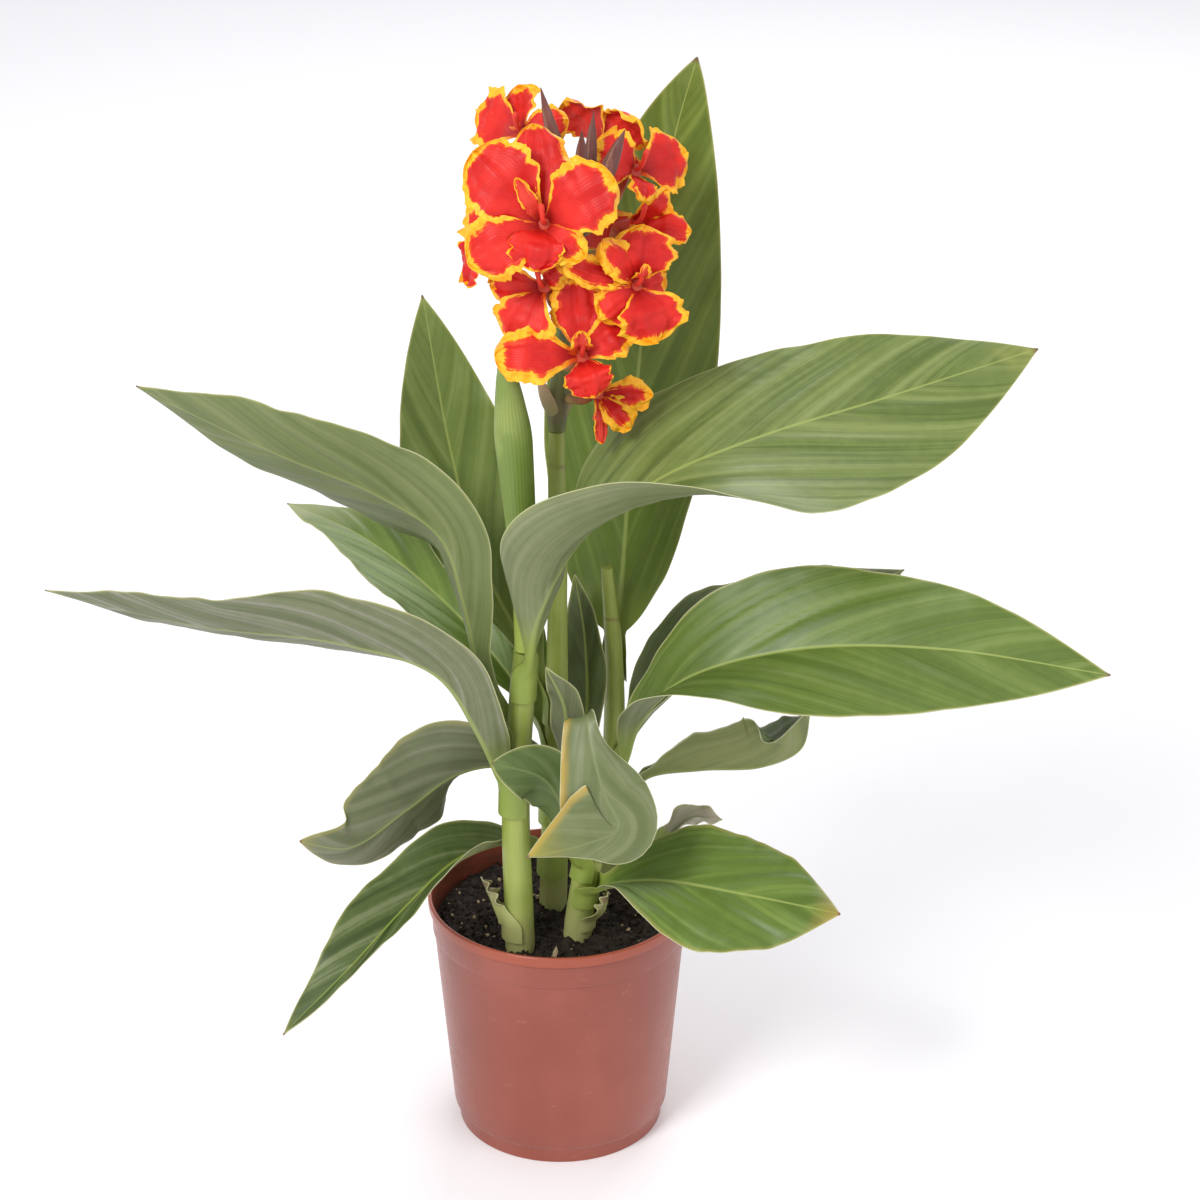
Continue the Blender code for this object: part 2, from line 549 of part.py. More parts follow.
def build_leaf(name, spec):
    """A leaf: a sheath that clasps its shoot, a short neck, and the blade out to its tip."""
    sheath = spec.get("sheath", SHEATH_LENGTH)
    rows = spec.get("rows", LEAF_ROWS)
    columns = spec.get("columns", LEAF_COLUMNS)
    top = spec["leaves_at"]
    centre, radius = shoot_axis(spec["shoot"], top)
    foot, foot_radius = shoot_axis(spec["shoot"], top - sheath)
    out = np.array(spec["path"][0]) - centre
    out[2] = 0
    out = unit(out)
    wrap = spec.get("clasp", CLASP_DEGREES)
    flat = math.cos(math.radians(wrap / columns))
    spare = GAP + LEAF_THICKNESS / 2 + spec.get("spare", 0.0005)
    clasp = (radius + spare) / flat
    foot_clasp = (foot_radius + spare) / flat
    held_from = foot + out * foot_clasp
    held_to = centre + out * clasp
    blade, length = curve_through([held_to, *spec["path"]], 160, before=held_from)
    held = np.linalg.norm(held_to - held_from)
    neck = held / (held + length)
    length += held
    blade_from = neck + spec.get("petiole", 0.014) / length
    u = np.concatenate([[0, neck * 0.5, neck], neck + (1 - neck) * np.linspace(0, 1, rows - 1)[1:] ** 1.1])
    place = np.concatenate([[0], neck + (1 - neck) * np.linspace(0, 1, 160)])
    fine = np.vstack([held_from, blade])
    path = np.stack([np.interp(u, place, fine[:, k]) for k in range(3)], axis=1)
    t = np.clip((u - blade_from) / (1 - blade_from), 0, 1)
    leaving = ease((u - neck) / (blade_from - neck))
    full = spec["width"] / 2 * blade_width(t, spec["widest"], spec.get("sharpness", 1.0))
    hold = clasp * math.radians(wrap) * (1 - leaving) + PETIOLE_HALF_WIDTH * leaving
    shares = along(spec.get("shares", [(1, 1), (1, 1)]), t)
    half = np.sqrt((full[:, None] * shares) ** 2 + (hold * ease(1 - t * 2.5))[:, None] ** 2)
    half = np.maximum(half, 0.0006)
    to_blade = ease((u - neck) / (blade_from - neck))[:, None]
    rise = along(spec["rise"], t) * to_blade
    curl = along(spec["curl"], t) * to_blade + wrap * (1 - to_blade)
    faces = along(spec["faces"], t)
    faces = unit(faces) * to_blade - out * (1 - to_blade)
    surface = blade_surface(path, faces, half, rise, curl, columns, spec.get("wave", (0.002, 2.5, 0.3)))
    rib = RIB_HEIGHT * (1 - u) ** 0.7 * ease((u - neck) / 0.05)
    points, faces = thickened(surface, LEAF_THICKNESS, rib)
    return solid(name, points, faces, dry_husk() if spec.get("husk") else leaf_green())


def stalk_side(height, towards, spare):
    """A point just off the flower stalk at a height, on the side that looks towards a point."""
    path, _ = curve_through(STALK, 40)
    centre = np.array([np.interp(height, path[:, 2], path[:, k]) for k in range(3)])
    radius = np.interp(np.interp(height, path[:, 2], np.linspace(0, 1, 40)), *STALK_RADII)
    side = np.array([towards[0] - centre[0], towards[1] - centre[1], 0.0])
    return centre + unit(side) * (radius + GAP + spare), unit(side)


def petal_surface(throat, axes, petal):
    """The middle surface of a petal, from deep in its tube to its rounded, wavy end."""
    tip_right, tip_up, tip_out, bow, width, widest = petal
    right, up, out = axes
    reach = (right * tip_right + up * tip_up) / 1000
    away = unit(reach)
    tip = throat + reach + out * tip_out / 1000
    middle = throat + reach * 0.50 + out * (tip_out * 0.55 + bow) / 1000
    start = throat - out * 0.0026 + away * 0.0014
    path, _ = curve_through([start, throat + away * 0.0040 + out * 0.0012, middle, tip], 40)
    u = 1 - (1 - np.linspace(0, 1, PETAL_ROWS + 2)) ** 1.35
    place = np.linspace(0, 1, 40)
    path = np.stack([np.interp(u, place, path[:, k]) for k in range(3)], axis=1)
    claw = 0.0024
    rise_part = np.clip(u / widest, 0, 1)
    end_part = np.clip((u - widest) / (1 - widest), 0, 1)
    half = claw + (width / 2000 - claw) * ease(rise_part) * 1.0
    half = np.where(u > widest, width / 2000 * np.sqrt(np.maximum(1 - end_part**2.2, 0)), half)
    half = np.maximum(half, 0.0022)
    half = np.stack([half, half], axis=1)
    blend = ease(u / 0.45)[:, None]
    level = unit(out * np.linalg.norm(reach) - away * tip_out / 1000)
    faces = unit(level * blend - away * (1 - blend))
    cup = np.stack([18 * (1 - u), 18 * (1 - u)], axis=1)
    turn = np.stack([-26 * u, -26 * u], axis=1)
    return blade_surface(path, faces, half, cup, turn, PETAL_COLUMNS, (0.0012, 1.5, 0.35))


def build_bloom(name, spec):
    """A bloom: its tube, with every petal joined to it."""
    throat = np.array(spec["throat"])
    angle = math.radians(spec["turn"])
    ahead = np.array([math.sin(angle), -math.cos(angle), 0.0])
    out = unit(ahead * 0.94 + np.array([0, 0, 0.34]))
    right = unit(np.cross([0, 0, 1], ahead))
    up = np.cross(out, right)
    foot, side = stalk_side(spec["from_height"], throat, spec.get("spare", 0.0005))
    end = throat + out * 0.0006
    middle = foot * 0.45 + end * 0.55 - np.array([0, 0, 0.002])
    path, _ = curve_through([foot, middle, throat - out * TUBE_DEPTH * 1.1, end], 5, before=foot - side * 0.010)
    points, faces = tube(path, np.linspace(0.0016, 0.0038, 5), 6)
    parts = []
    bloom = solid(name, points, faces, petal_red())
    for k, petal in enumerate(spec["petals"]):
        surface = petal_surface(throat, (right, up, out), petal)
        parts.append(solid(f"{name}_petal{k}", *thickened(surface, PETAL_THICKNESS), petal_red()))
    return apply_boolean(bloom, parts, "UNION")


def build_bud(name, height, tip, radius):
    """A closed bud: a slim pointed spindle that stands against the stalk."""
    share = np.array([0.0, 0.10, 0.30, 0.55, 0.80, 1.0])
    size = np.array([0.35, 0.75, 1.0, 0.85, 0.42, 0.08]) * radius
    foot, _ = stalk_side(height, tip, radius * 0.36 + 0.0003)
    path = foot + (np.array(tip) - foot) * share[:, None]
    return solid(name, *tube(path, size, 8), bud_purple())


def build_flower_stalk():
    """The stalk above the last leaf: bare, with a swollen joint and two bracts below the blooms."""
    path, _ = curve_through(STALK, 12)
    radii = np.interp(np.linspace(0, 1, 12), *STALK_RADII)
    stalk = solid("flower_stalk", *tube(path, radii, 12), stem_green())
    bracts = []
    for k, tip in enumerate([(0.011, 0.007, 0.462), (-0.010, -0.006, 0.464)]):
        foot = np.array([0.001, -0.001, 0.436])
        line, _ = curve_through([foot, (foot + tip) / 2 + np.array([0, -0.002, -0.003]), tip], 6)
        bracts.append(solid(f"bract{k}", *tube(line, [0.0030, 0.0036, 0.0034, 0.0028, 0.0018, 0.0006], 8), stem_green()))
    return apply_boolean(stalk, bracts, "UNION")


def build_spear():
    """The youngest leaf of the front shoot, still rolled up."""
    line = [(-0.017, -0.039, 0.3170), (-0.018, -0.037, 0.369), (-0.022, -0.036, 0.431)]
    line += [(-0.025, -0.036, 0.468), (-0.027, -0.037, 0.494)]
    path, _ = curve_through(line, 11)
    share = np.linspace(0, 1, 11)
    radii = np.interp(share, [0, 0.20, 0.45, 0.70, 0.85, 1], [0.0058, 0.0062, 0.0085, 0.0104, 0.0068, 0.0006])
    return solid("leaf_spear", *tube(path, radii, 12), leaf_green())


def ring_points(profile, sides):
    """Points of a turned shape: one ring for each (radius, height), or one point on the axis."""
    points = []
    starts = []
    for radius, height in profile:
        starts.append((len(points), 1 if radius == 0 else sides))
        for j in range(starts[-1][1]):
            angle = 2 * math.pi * (j + 0.5) / sides
            points.append((radius * math.cos(angle), radius * math.sin(angle), height))
    return points, starts


def turned(name, profile, sides, finish):
    """A closed solid from a profile that starts and ends on the axis."""
    points, starts = ring_points(profile, sides)
    faces = []
    for (a, na), (b, nb) in zip(starts, starts[1:]):
        for j in range(sides):
            k = (j + 1) % sides
            if na == 1:
                faces.append((a, b + j, b + k))
            elif nb == 1:
                faces.append((a + k, a + j, b))
            else:
                faces.append((a + j, b + j, b + k, a + k))
    return solid(name, points, faces, finish)


def wall_radius(height):
    """Outer radius of the pot's plain wall at a height."""
    share = (height - FOOT_TOP) / (LEDGE_HEIGHT - FOOT_TOP)
    return BODY_BASE_RADIUS + (BODY_TOP_RADIUS - BODY_BASE_RADIUS) * share


def build_pot():
    """The pot: a tapered wall, a slightly wider band and a rolled rim above it, a notched foot."""
    inner = [(wall_radius(h) - WALL, h) for h in (FLOOR_HEIGHT + 0.003, 0.060, LEDGE_HEIGHT)]
    outer = [(wall_radius(h), h) for h in (LEDGE_HEIGHT, 0.060, FOOT_TOP)]
    profile = [(0, FLOOR_HEIGHT), (BODY_BASE_RADIUS - 0.0032, FLOOR_HEIGHT), *inner]
    profile += [(RIM_RADIUS - 0.0036, 0.1385), (RIM_RADIUS - 0.0020, 0.1440), (RIM_RADIUS - 0.0012, POT_HEIGHT)]
    profile += [(RIM_RADIUS - 0.0003, POT_HEIGHT - 0.0003), (RIM_RADIUS, POT_HEIGHT - 0.0015)]
    profile += [(RIM_RADIUS - 0.0001, 0.1400), (RIM_RADIUS - 0.0008, 0.1382), (BODY_TOP_RADIUS + 0.0012, 0.1374)]
    profile += [(BODY_TOP_RADIUS + 0.0008, LEDGE_HEIGHT + 0.0010), *outer]
    profile += [(FOOT_RADIUS + 0.0007, FOOT_HEIGHT + 0.0012), (FOOT_RADIUS, 0), (FOOT_RADIUS - 0.0030, 0)]
    profile += [(FOOT_RADIUS - 0.0030, FOOT_HEIGHT + 0.0008), (0, FOOT_HEIGHT + 0.0008)]
    pot = turned("pot", profile[::-1], POT_SIDES, pot_plastic())
    cutters = []
    for quarter in range(4):
        for centre in FOOT_GAP_PLACES:
            cutters.append(foot_gap(math.radians(centre + 90 * quarter - 90)))
    return apply_boolean(pot, cutters, "DIFFERENCE")


def foot_gap(angle):
    """A cutter for one gap in the foot: wider at the ground than at its top."""
    half_low, half_high = FOOT_GAP_WIDTHS[0] / 2, FOOT_GAP_WIDTHS[1] / 2
    points = []
    for height, half in ((-0.002, half_low), (FOOT_HEIGHT, half_high)):
        for radius in (FOOT_RADIUS - 0.010, FOOT_RADIUS + 0.006):
            for side in (-half, half):
                points.append((
                    radius * math.cos(angle) - side * math.sin(angle),
                    radius * math.sin(angle) + side * math.cos(angle),
                    height,
                ))
    faces = [(0, 1, 3, 2), (4, 6, 7, 5), (0, 4, 5, 1), (2, 3, 7, 6), (0, 2, 6, 4), (1, 5, 7, 3)]
    return solid("foot_gap", points, faces, pot_plastic())


def build_soil():
    """Compost that fills the pot, with a lumpy top and a plain hole for each shoot."""
    rng = np.random.default_rng(SOIL_SEED)
    sides = POT_SIDES
    top_radius = wall_radius(SOIL_LEVEL) - WALL - GAP
    profile = [(0, FLOOR_HEIGHT + GAP), (BODY_BASE_RADIUS - 0.0045, FLOOR_HEIGHT + GAP)]
    profile += [(wall_radius(h) - WALL - GAP, h) for h in (FLOOR_HEIGHT + 0.0036, 0.060, 0.1140)]
    edge = RIM_RADIUS - 0.0048
    profile += [(edge, 0.1275), (edge * 0.88, SOIL_LEVEL), (edge * 0.68, SOIL_LEVEL)]
    profile += [(edge * 0.45, SOIL_LEVEL + 0.001), (edge * 0.2, SOIL_LEVEL + 0.001), (0, SOIL_LEVEL)]
    soil = turned("soil", profile, sides, compost())
    for vertex in soil.data.vertices:
        if vertex.co.z > 0.129:
            vertex.co.z += float(rng.uniform(-1, 1)) * SOIL_RELIEF / 2
    cutters = []
    for name in SHOOTS:
        centre = shoot_axis(name, SHOOT_FOOT)[0] - np.array([0, 0, 0.0006])
        line = [centre] + [shoot_axis(name, h)[0] for h in np.linspace(SHOOT_FOOT + 0.01, 0.150, 4)]
        radii = [shoot_axis(name, max(p[2], SHOOT_FOOT))[1] + 0.0004 for p in line]
        cutters.append(solid(f"hole_{name}", *tube(line, radii, STEM_SIDES), compost()))
    return apply_boolean(soil, cutters, "DIFFERENCE")


def main():
    clear_scene()
    build_pot()
    build_soil()
    for name in SHOOTS:
        build_shoot(name)
    build_flower_stalk()
    build_spear()
    for name, spec in LEAVES.items():
        build_leaf(name, spec)
    for name, spec in BLOOMS.items():
        build_bloom(name, spec)
    for name, (height, tip, radius) in BUDS.items():
        build_bud(name, height, tip, radius)


main()
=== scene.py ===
import math

import bpy
import numpy as np
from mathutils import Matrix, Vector


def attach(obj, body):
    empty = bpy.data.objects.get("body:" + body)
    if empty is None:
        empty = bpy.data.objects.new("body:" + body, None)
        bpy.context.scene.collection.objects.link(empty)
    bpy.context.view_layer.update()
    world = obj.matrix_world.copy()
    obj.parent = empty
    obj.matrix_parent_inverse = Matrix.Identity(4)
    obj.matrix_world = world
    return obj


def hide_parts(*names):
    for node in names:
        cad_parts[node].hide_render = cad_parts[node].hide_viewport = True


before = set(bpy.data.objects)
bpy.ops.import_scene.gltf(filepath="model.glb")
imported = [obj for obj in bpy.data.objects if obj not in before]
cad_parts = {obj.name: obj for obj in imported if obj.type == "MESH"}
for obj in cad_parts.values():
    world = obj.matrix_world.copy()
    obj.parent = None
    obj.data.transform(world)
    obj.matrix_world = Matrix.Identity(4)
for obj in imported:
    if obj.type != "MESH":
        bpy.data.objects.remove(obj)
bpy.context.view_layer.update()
print("frame loaded with", len(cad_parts), "pieces")


# Plain maths.

def unit(v):
    v = np.asarray(v, float)
    return v / np.maximum(np.linalg.norm(v, axis=-1, keepdims=True), 1e-12)


def ease(t):  # 3t^2 - 2t^3, from 0 to 1
    t = np.clip(t, 0.0, 1.0)
    return t * t * (3.0 - 2.0 * t)


def colour(red, green, blue):  # screen values from 0 to 255, made linear
    c = np.array([red, green, blue]) / 255
    linear = np.where(c <= 0.04045, c / 12.92, ((c + 0.055) / 1.055) ** 2.4)
    return (*[float(x) for x in linear], 1.0)


# A centripetal Catmull-Rom curve through the points, at evenly spaced lengths.
# before is a point that the curve comes from.
def curveThrough(points, count, before=None):
    p = np.asarray(points, float)
    first = 2 * p[0] - p[1] if before is None else before
    p = np.vstack([first, p, 2 * p[-1] - p[-2]])
    knots = np.concatenate([[0], np.cumsum(np.linalg.norm(np.diff(p, axis=0), axis=1) ** 0.5)])
    fine = []
    for i in range(1, len(p) - 2):
        t = np.linspace(knots[i], knots[i + 1], 40, endpoint=False)[:, None]
        t0, t1, t2, t3 = knots[i - 1 : i + 3]
        a1 = (t1 - t) / (t1 - t0) * p[i - 1] + (t - t0) / (t1 - t0) * p[i]
        a2 = (t2 - t) / (t2 - t1) * p[i] + (t - t1) / (t2 - t1) * p[i + 1]
        a3 = (t3 - t) / (t3 - t2) * p[i + 1] + (t - t2) / (t3 - t2) * p[i + 2]
        b1 = (t2 - t) / (t2 - t0) * a1 + (t - t0) / (t2 - t0) * a2
        b2 = (t3 - t) / (t3 - t1) * a2 + (t - t1) / (t3 - t1) * a3
        fine.append((t2 - t) / (t2 - t1) * b1 + (t - t1) / (t2 - t1) * b2)
    fine = np.vstack([*fine, p[-2:-1]])
    length = np.concatenate([[0], np.cumsum(np.linalg.norm(np.diff(fine, axis=0), axis=1))])
    return readAt(evenly(count) * length[-1], length, fine), length[-1]


def readAt(where, stations, rows):  # each column of rows, read at where
    return np.stack([np.interp(where, stations, rows[:, k]) for k in range(rows.shape[1])], axis=1)


def evenly(count):  # from 0 to 1
    return np.linspace(0, 1, count)


def roundTurn(count):  # angles evenly spaced round a circle
    return np.arange(count) * 2 * math.pi / count


# Values at evenly spaced stations, each a (left, right) pair or one number for both sides. They
# are joined by straight lines, rounded off by averaging over 0.42 of a station each way.
def alongBlade(values, t):
    values = np.array([v if np.ndim(v) else (v, v) for v in values], float)
    places = evenly(len(values))
    spread = np.linspace(-0.42, 0.42, 9) / (len(values) - 1)
    return sum(readAt(np.clip(t + s, 0, 1), places, values) for s in spread) / len(spread)


# Waves of several lengths added up: the sum of sin(2 pi (count t + phase)) / n.
def ripple(t, rng, counts):
    return sum(np.sin(2 * math.pi * (c * t + rng.uniform())) / (n + 1) for n, c in enumerate(counts))


# Meshes.

def gridQuads(rows, columns, wrap=False):  # quads of a grid of points, row by row
    i = np.arange(rows - 1)[:, None]
    j = np.arange(columns if wrap else columns - 1)[None, :]
    k = (j + 1) % columns
    a, b = i * columns + j, i * columns + k
    return np.stack([a, b, b + columns, a + columns], axis=-1).reshape(-1, 4)


def inScene(name, data):
    made = bpy.data.objects.new(name, data)
    bpy.context.scene.collection.objects.link(made)
    return made


class Build:  # the points, faces and point values of one piece, gathered shell by shell
    def __init__(self):
        self.points = []
        self.faces = []
        self.slots = []
        self.values = {}
        self.count = 0

    def add(self, points, faces, slot=0, **values):
        points = np.asarray(points, float).reshape(-1, 3)
        for group in faces:
            group = np.asarray(group)
            self.faces += (group + self.count).tolist()
            self.slots += [slot] * len(group)
        for key in {**self.values, **values}:
            held = self.values.setdefault(key, [np.zeros(self.count)])
            given = np.asarray(values.get(key, 0.0), float).reshape(-1)
            held.append(np.broadcast_to(given, len(points)) if given.size == 1 else given)
        self.points.append(points)
        self.count += len(points)

    def piece(self, name, finishes, node, sharp=50):
        mesh = bpy.data.meshes.new(name)
        mesh.from_pydata(np.vstack(self.points).tolist(), [], self.faces)
        for finish in finishes:
            mesh.materials.append(finish)
        mesh.polygons.foreach_set("material_index", np.array(self.slots, np.int32))
        for key, parts in self.values.items():
            layer = mesh.attributes.new(key, "FLOAT", "POINT")
            layer.data.foreach_set("value", np.concatenate(parts).astype(np.float32))
        mesh.shade_smooth()
        mesh.set_sharp_from_angle(angle=math.radians(sharp))
        mesh.update()
        made = inScene(name, mesh)
        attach(made, "root")
        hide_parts(node)
        return made


# A closed shell round a middle surface: the upper grid, the lower grid and the rim between them.
def addShell(build, surface, upper, lower, **values):
    rows, columns = surface.shape[:2]
    down = np.gradient(surface, axis=0)
    over = np.gradient(surface, axis=1)
    normal = unit(np.cross(over, down))
    points = np.vstack([(surface + normal * upper[..., None]).reshape(-1, 3),
                        (surface - normal * lower[..., None]).reshape(-1, 3)])
    under = rows * columns
    top = gridQuads(rows, columns)
    index = np.arange(under).reshape(rows, columns)
    edge = np.concatenate([index[0], index[1:, -1], index[-1, -2::-1], index[-2:0:-1, 0]])
    after = np.roll(edge, -1)
    rim = np.stack([edge, edge + under, after + under, after], axis=-1)
    both = {key: np.tile(np.broadcast_to(v, (rows, columns)).reshape(-1), 2) for key, v in values.items()}
    both["upper"] = np.repeat([1.0, 0.0], under)
    build.add(points, [top, top[:, ::-1] + under, rim], **both)


# A closed tube: each ring is centre + (first cos a + second sin a) r(row, a).
def addTube(build, path, radii, sides, slot=0, **values):
    tangent = unit(np.gradient(path, axis=0))
    helper = np.array([0.0, 1.0, 0.0]) if abs(tangent[0][1]) < 0.9 else np.array([1.0, 0.0, 0.0])
    first = unit(np.cross(tangent, helper))
    second = np.cross(tangent, first)
    angle = roundTurn(sides)
    ring = first[:, None] * np.cos(angle)[None, :, None] + second[:, None] * np.sin(angle)[None, :, None]
    radii = np.asarray(radii, float)
    radii = radii[:, None] if radii.ndim == 1 else radii
    points = (path[:, None] + ring * (radii * np.ones(sides))[..., None]).reshape(-1, 3)
    rows = len(path)
    foot, head = rows * sides, rows * sides + 1
    j = np.arange(sides)
    k = (j + 1) % sides
    last = (rows - 1) * sides
    caps = [np.stack([np.full(sides, foot), k, j], axis=-1),
            np.stack([np.full(sides, head), last + j, last + k], axis=-1)]
    shaped = {key: np.broadcast_to(v, (rows, sides)).reshape(-1) for key, v in values.items()}
    shaped = {key: np.concatenate([v, v[:1], v[-1:]]) for key, v in shaped.items()}
    shaped["around"] = np.concatenate([np.tile(angle, rows), [0, 0]])
    points = np.vstack([points, path[:1], path[-1:]])
    build.add(points, [gridQuads(rows, sides, wrap=True), *caps], slot, **shaped)


# Finishes.

class Value:  # a number that changes over a surface: arithmetic on it adds Math nodes
    def __init__(self, finish, socket):
        self.finish = finish
        self.socket = socket

    def step(self, operation, *inputs):
        made = self.finish.node("ShaderNodeMath", {"operation": operation}, dict(enumerate(inputs)))
        return Value(self.finish, made.outputs[0])

    def __add__(self, other):
        return self.step("ADD", self, other)

    def __sub__(self, other):
        return self.step("SUBTRACT", self, other)

    def __rsub__(self, other):
        return self.step("SUBTRACT", other, self)

    def __mul__(self, other):
        return self.step("MULTIPLY", self, other)

    def __truediv__(self, other):
        return self.step("DIVIDE", self, other)

    def between(self, low, high):  # 0 at low, 1 at high, eased
        made = self.finish.node("ShaderNodeMapRange", {"interpolation_type": "SMOOTHSTEP"},
                                {"Value": self, "From Min": low, "From Max": high})
        return Value(self.finish, made.outputs[0])

    def wave(self):  # sine of the value in turns, from 0 to 1
        return self.step("SINE", self * (2 * math.pi)) * 0.5 + 0.5


class Finish:
    def __init__(self, name, **constants):
        self.material = bpy.data.materials.new(name)
        self.material.use_nodes = True
        self.tree = self.material.node_tree
        self.shader = self.tree.nodes["Principled BSDF"]
        for key, value in constants.items():
            self.shader.inputs[key.replace("_", " ")].default_value = value

    def node(self, kind, settings=None, inputs=None):
        made = self.tree.nodes.new(kind)
        for key, value in (settings or {}).items():
            setattr(made, key, value)
        for key, value in (inputs or {}).items():
            self.feed(made.inputs[key], value)
        return made

    def feed(self, socket, value):
        if isinstance(value, Value):
            value = value.socket
        if isinstance(value, bpy.types.NodeSocket):
            self.tree.links.new(value, socket)
        else:
            socket.default_value = value

    def read(self, name):  # a value kept on the mesh's points
        return Value(self, self.node("ShaderNodeAttribute", {"attribute_name": name}).outputs["Fac"])

    def place(self, scale=(1, 1, 1)):  # Object coordinates, stretched
        where = self.node("ShaderNodeTexCoord").outputs["Object"]
        return self.node("ShaderNodeMapping", {}, {"Vector": where, "Scale": scale}).outputs["Vector"]

    def noise(self, scale, detail=3.0, rough=0.55, vector=None):
        made = self.node("ShaderNodeTexNoise", {}, {"Vector": vector or self.place(), "Scale": scale,
                                                    "Detail": detail, "Roughness": rough})
        return Value(self, made.outputs["Fac"])

    def mix(self, share, low, high):  # low where share is 0, high where it is 1
        low, high = (colour(*c) if isinstance(c, tuple) else c for c in (low, high))
        made = self.node("ShaderNodeMix", {"data_type": "RGBA"}, {0: share, 6: low, 7: high})
        return made.outputs[2]

    def combined(self, *three):  # a vector of three values
        return self.node("ShaderNodeCombineXYZ", {}, dict(enumerate(three))).outputs[0]

    def surface(self, base, rough, height, strength, distance):
        self.feed(self.shader.inputs["Base Color"], base)
        self.feed(self.shader.inputs["Roughness"], rough)
        inputs = {"Strength": strength, "Distance": distance, "Height": height}
        bump = self.node("ShaderNodeBump", {}, inputs)
        self.feed(self.shader.inputs["Normal"], bump.outputs["Normal"])
        return self.material


# The shoots, in mm: points up each axis, the radius there, and the heights where a sheath ends.
shoots = {
    "shoot_front": dict(
        axis=[(-21, -34, 85), (-22, -38, 150), (-23, -40, 226), (-17, -39, 316)],
        radii=[8.8, 8.4, 7.8, 6.6], joints=[255, 300],
    ),
    "shoot_flowering": dict(
        axis=[(-5, 12, 85), (-2, 8, 200), (0, 4, 340), (0, 0, 428)],
        radii=[8.5, 7.8, 5.6, 4.6], joints=[240, 352, 405],
    ),
    "shoot_right": dict(
        axis=[(8, -20, 85), (12, -24, 145), (21, -27, 200), (31, -27, 242)],
        radii=[8.8, 8.4, 7.4, 6], joints=[180, 215],
    ),
    "shoot_back": dict(
        axis=[(30, 34, 85), (31, 32, 200), (31, 30, 280), (27, 30, 334)],
        radii=[8, 7.4, 6, 3.4], joints=[215, 300],
    ),
    "shoot_small": dict(
        axis=[(46, 18, 85), (48, 22, 130), (51, 26, 156)],
        radii=[4, 3.6, 3], joints=[144],
    ),
}
shootShape = {
    "sides": 40,
    "rows": 190,
    "stepIn": 0.955,  # share of the radius above a sheath's end
    "taper": 0.030,  # the length below its end over which a sheath widens to the full radius
    "edge": 0.0008,  # width of the mark at a sheath's end
    "sheathSlant": 0.004,  # how much higher a sheath's end is on one side
    "ridges": (18, 0.00012),  # how many, and how high
    "foot": (0.132, 0.035),  # where the pale foot starts to fade, and over what length
}
shootColours = {
    "pale": (170, 178, 96),
    "green": (138, 152, 62),
    "shade": (102, 120, 44),
    "foot": (166, 168, 112),
    "edge": (120, 104, 58),
}


def shootLine(name, count=60):  # points up a shoot's middle, and its radius at each
    axis, radii = (np.array(shoots[name][key]) / 1000 for key in ("axis", "radii"))
    line, _ = curveThrough(axis, count)
    return line, np.interp(evenly(count), evenly(len(radii)), radii)


def lineAt(line, height, axes=(0, 1, 2)):  # the point of a rising line at a height
    return np.stack([np.interp(height, line[:, 2], line[:, k]) for k in axes], axis=-1)


def stemFinish(name, colours):
    finish = Finish(name, Specular_IOR_Level=0.45)
    around = finish.read("around") / (2 * math.pi)
    streak = finish.noise(90, 4, 0.6, finish.place((1, 1, 0.06)))
    cloud = finish.noise(22, 2, 0.5)
    fibre = (around * 46 + cloud * 2).wave()
    base = finish.mix(streak.between(0.35, 0.68), colours["green"], colours["pale"])
    base = finish.mix(cloud.between(0.42, 0.66) * 0.55, base, colours["shade"])
    base = finish.mix(fibre * 0.16, base, colours["pale"])
    base = finish.mix(finish.read("foot") * 0.75, base, colours["foot"])
    base = finish.mix(finish.read("sheathEnd") * 0.8, base, colours["edge"])
    rough = finish.noise(60, 2) * 0.2 + 0.34
    return finish.surface(base, rough, fibre * 0.4 + streak * 0.6, 0.35, 0.0003)


# A stem: radius(height) narrows in a step at each sheath's end, and small ridges run up it.
def makeShoot(name, finish):
    shape = shootShape
    sides, rows = shape["sides"], shape["rows"]
    path, radii = shootLine(name, rows)
    angle = roundTurn(sides)
    height = path[:, 2][:, None] - shape["sheathSlant"] * 0.5 * (1 + np.cos(angle - 1.2))[None, :]
    share = np.full((rows, sides), shape["stepIn"])
    end = np.zeros((rows, sides))
    for joint in np.array(shoots[name]["joints"]) / 1000:
        below = 1 - ease((height - joint) / 0.0009)
        share += (1 - shape["stepIn"]) * below * ease((height - joint + shape["taper"]) / shape["taper"])
        end = np.maximum(end, np.exp(-(((height - joint) / shape["edge"]) ** 2)))
    count, high = shape["ridges"]
    ridge = high * np.cos(angle * count)[None, :]
    fadeFrom, fadeOver = shape["foot"]
    foot = 1 - ease((path[:, 2][:, None] - fadeFrom) / fadeOver)
    build = Build()
    addTube(build, path, radii[:, None] * share + ridge, sides, foot=foot * np.ones(sides), sheathEnd=end)
    build.piece(name + "_stem", [finish], name, 60)


stemGreen = stemFinish("stemGreen", shootColours)
for name in shoots:
    makeShoot(name, stemGreen)
print("shoots made")


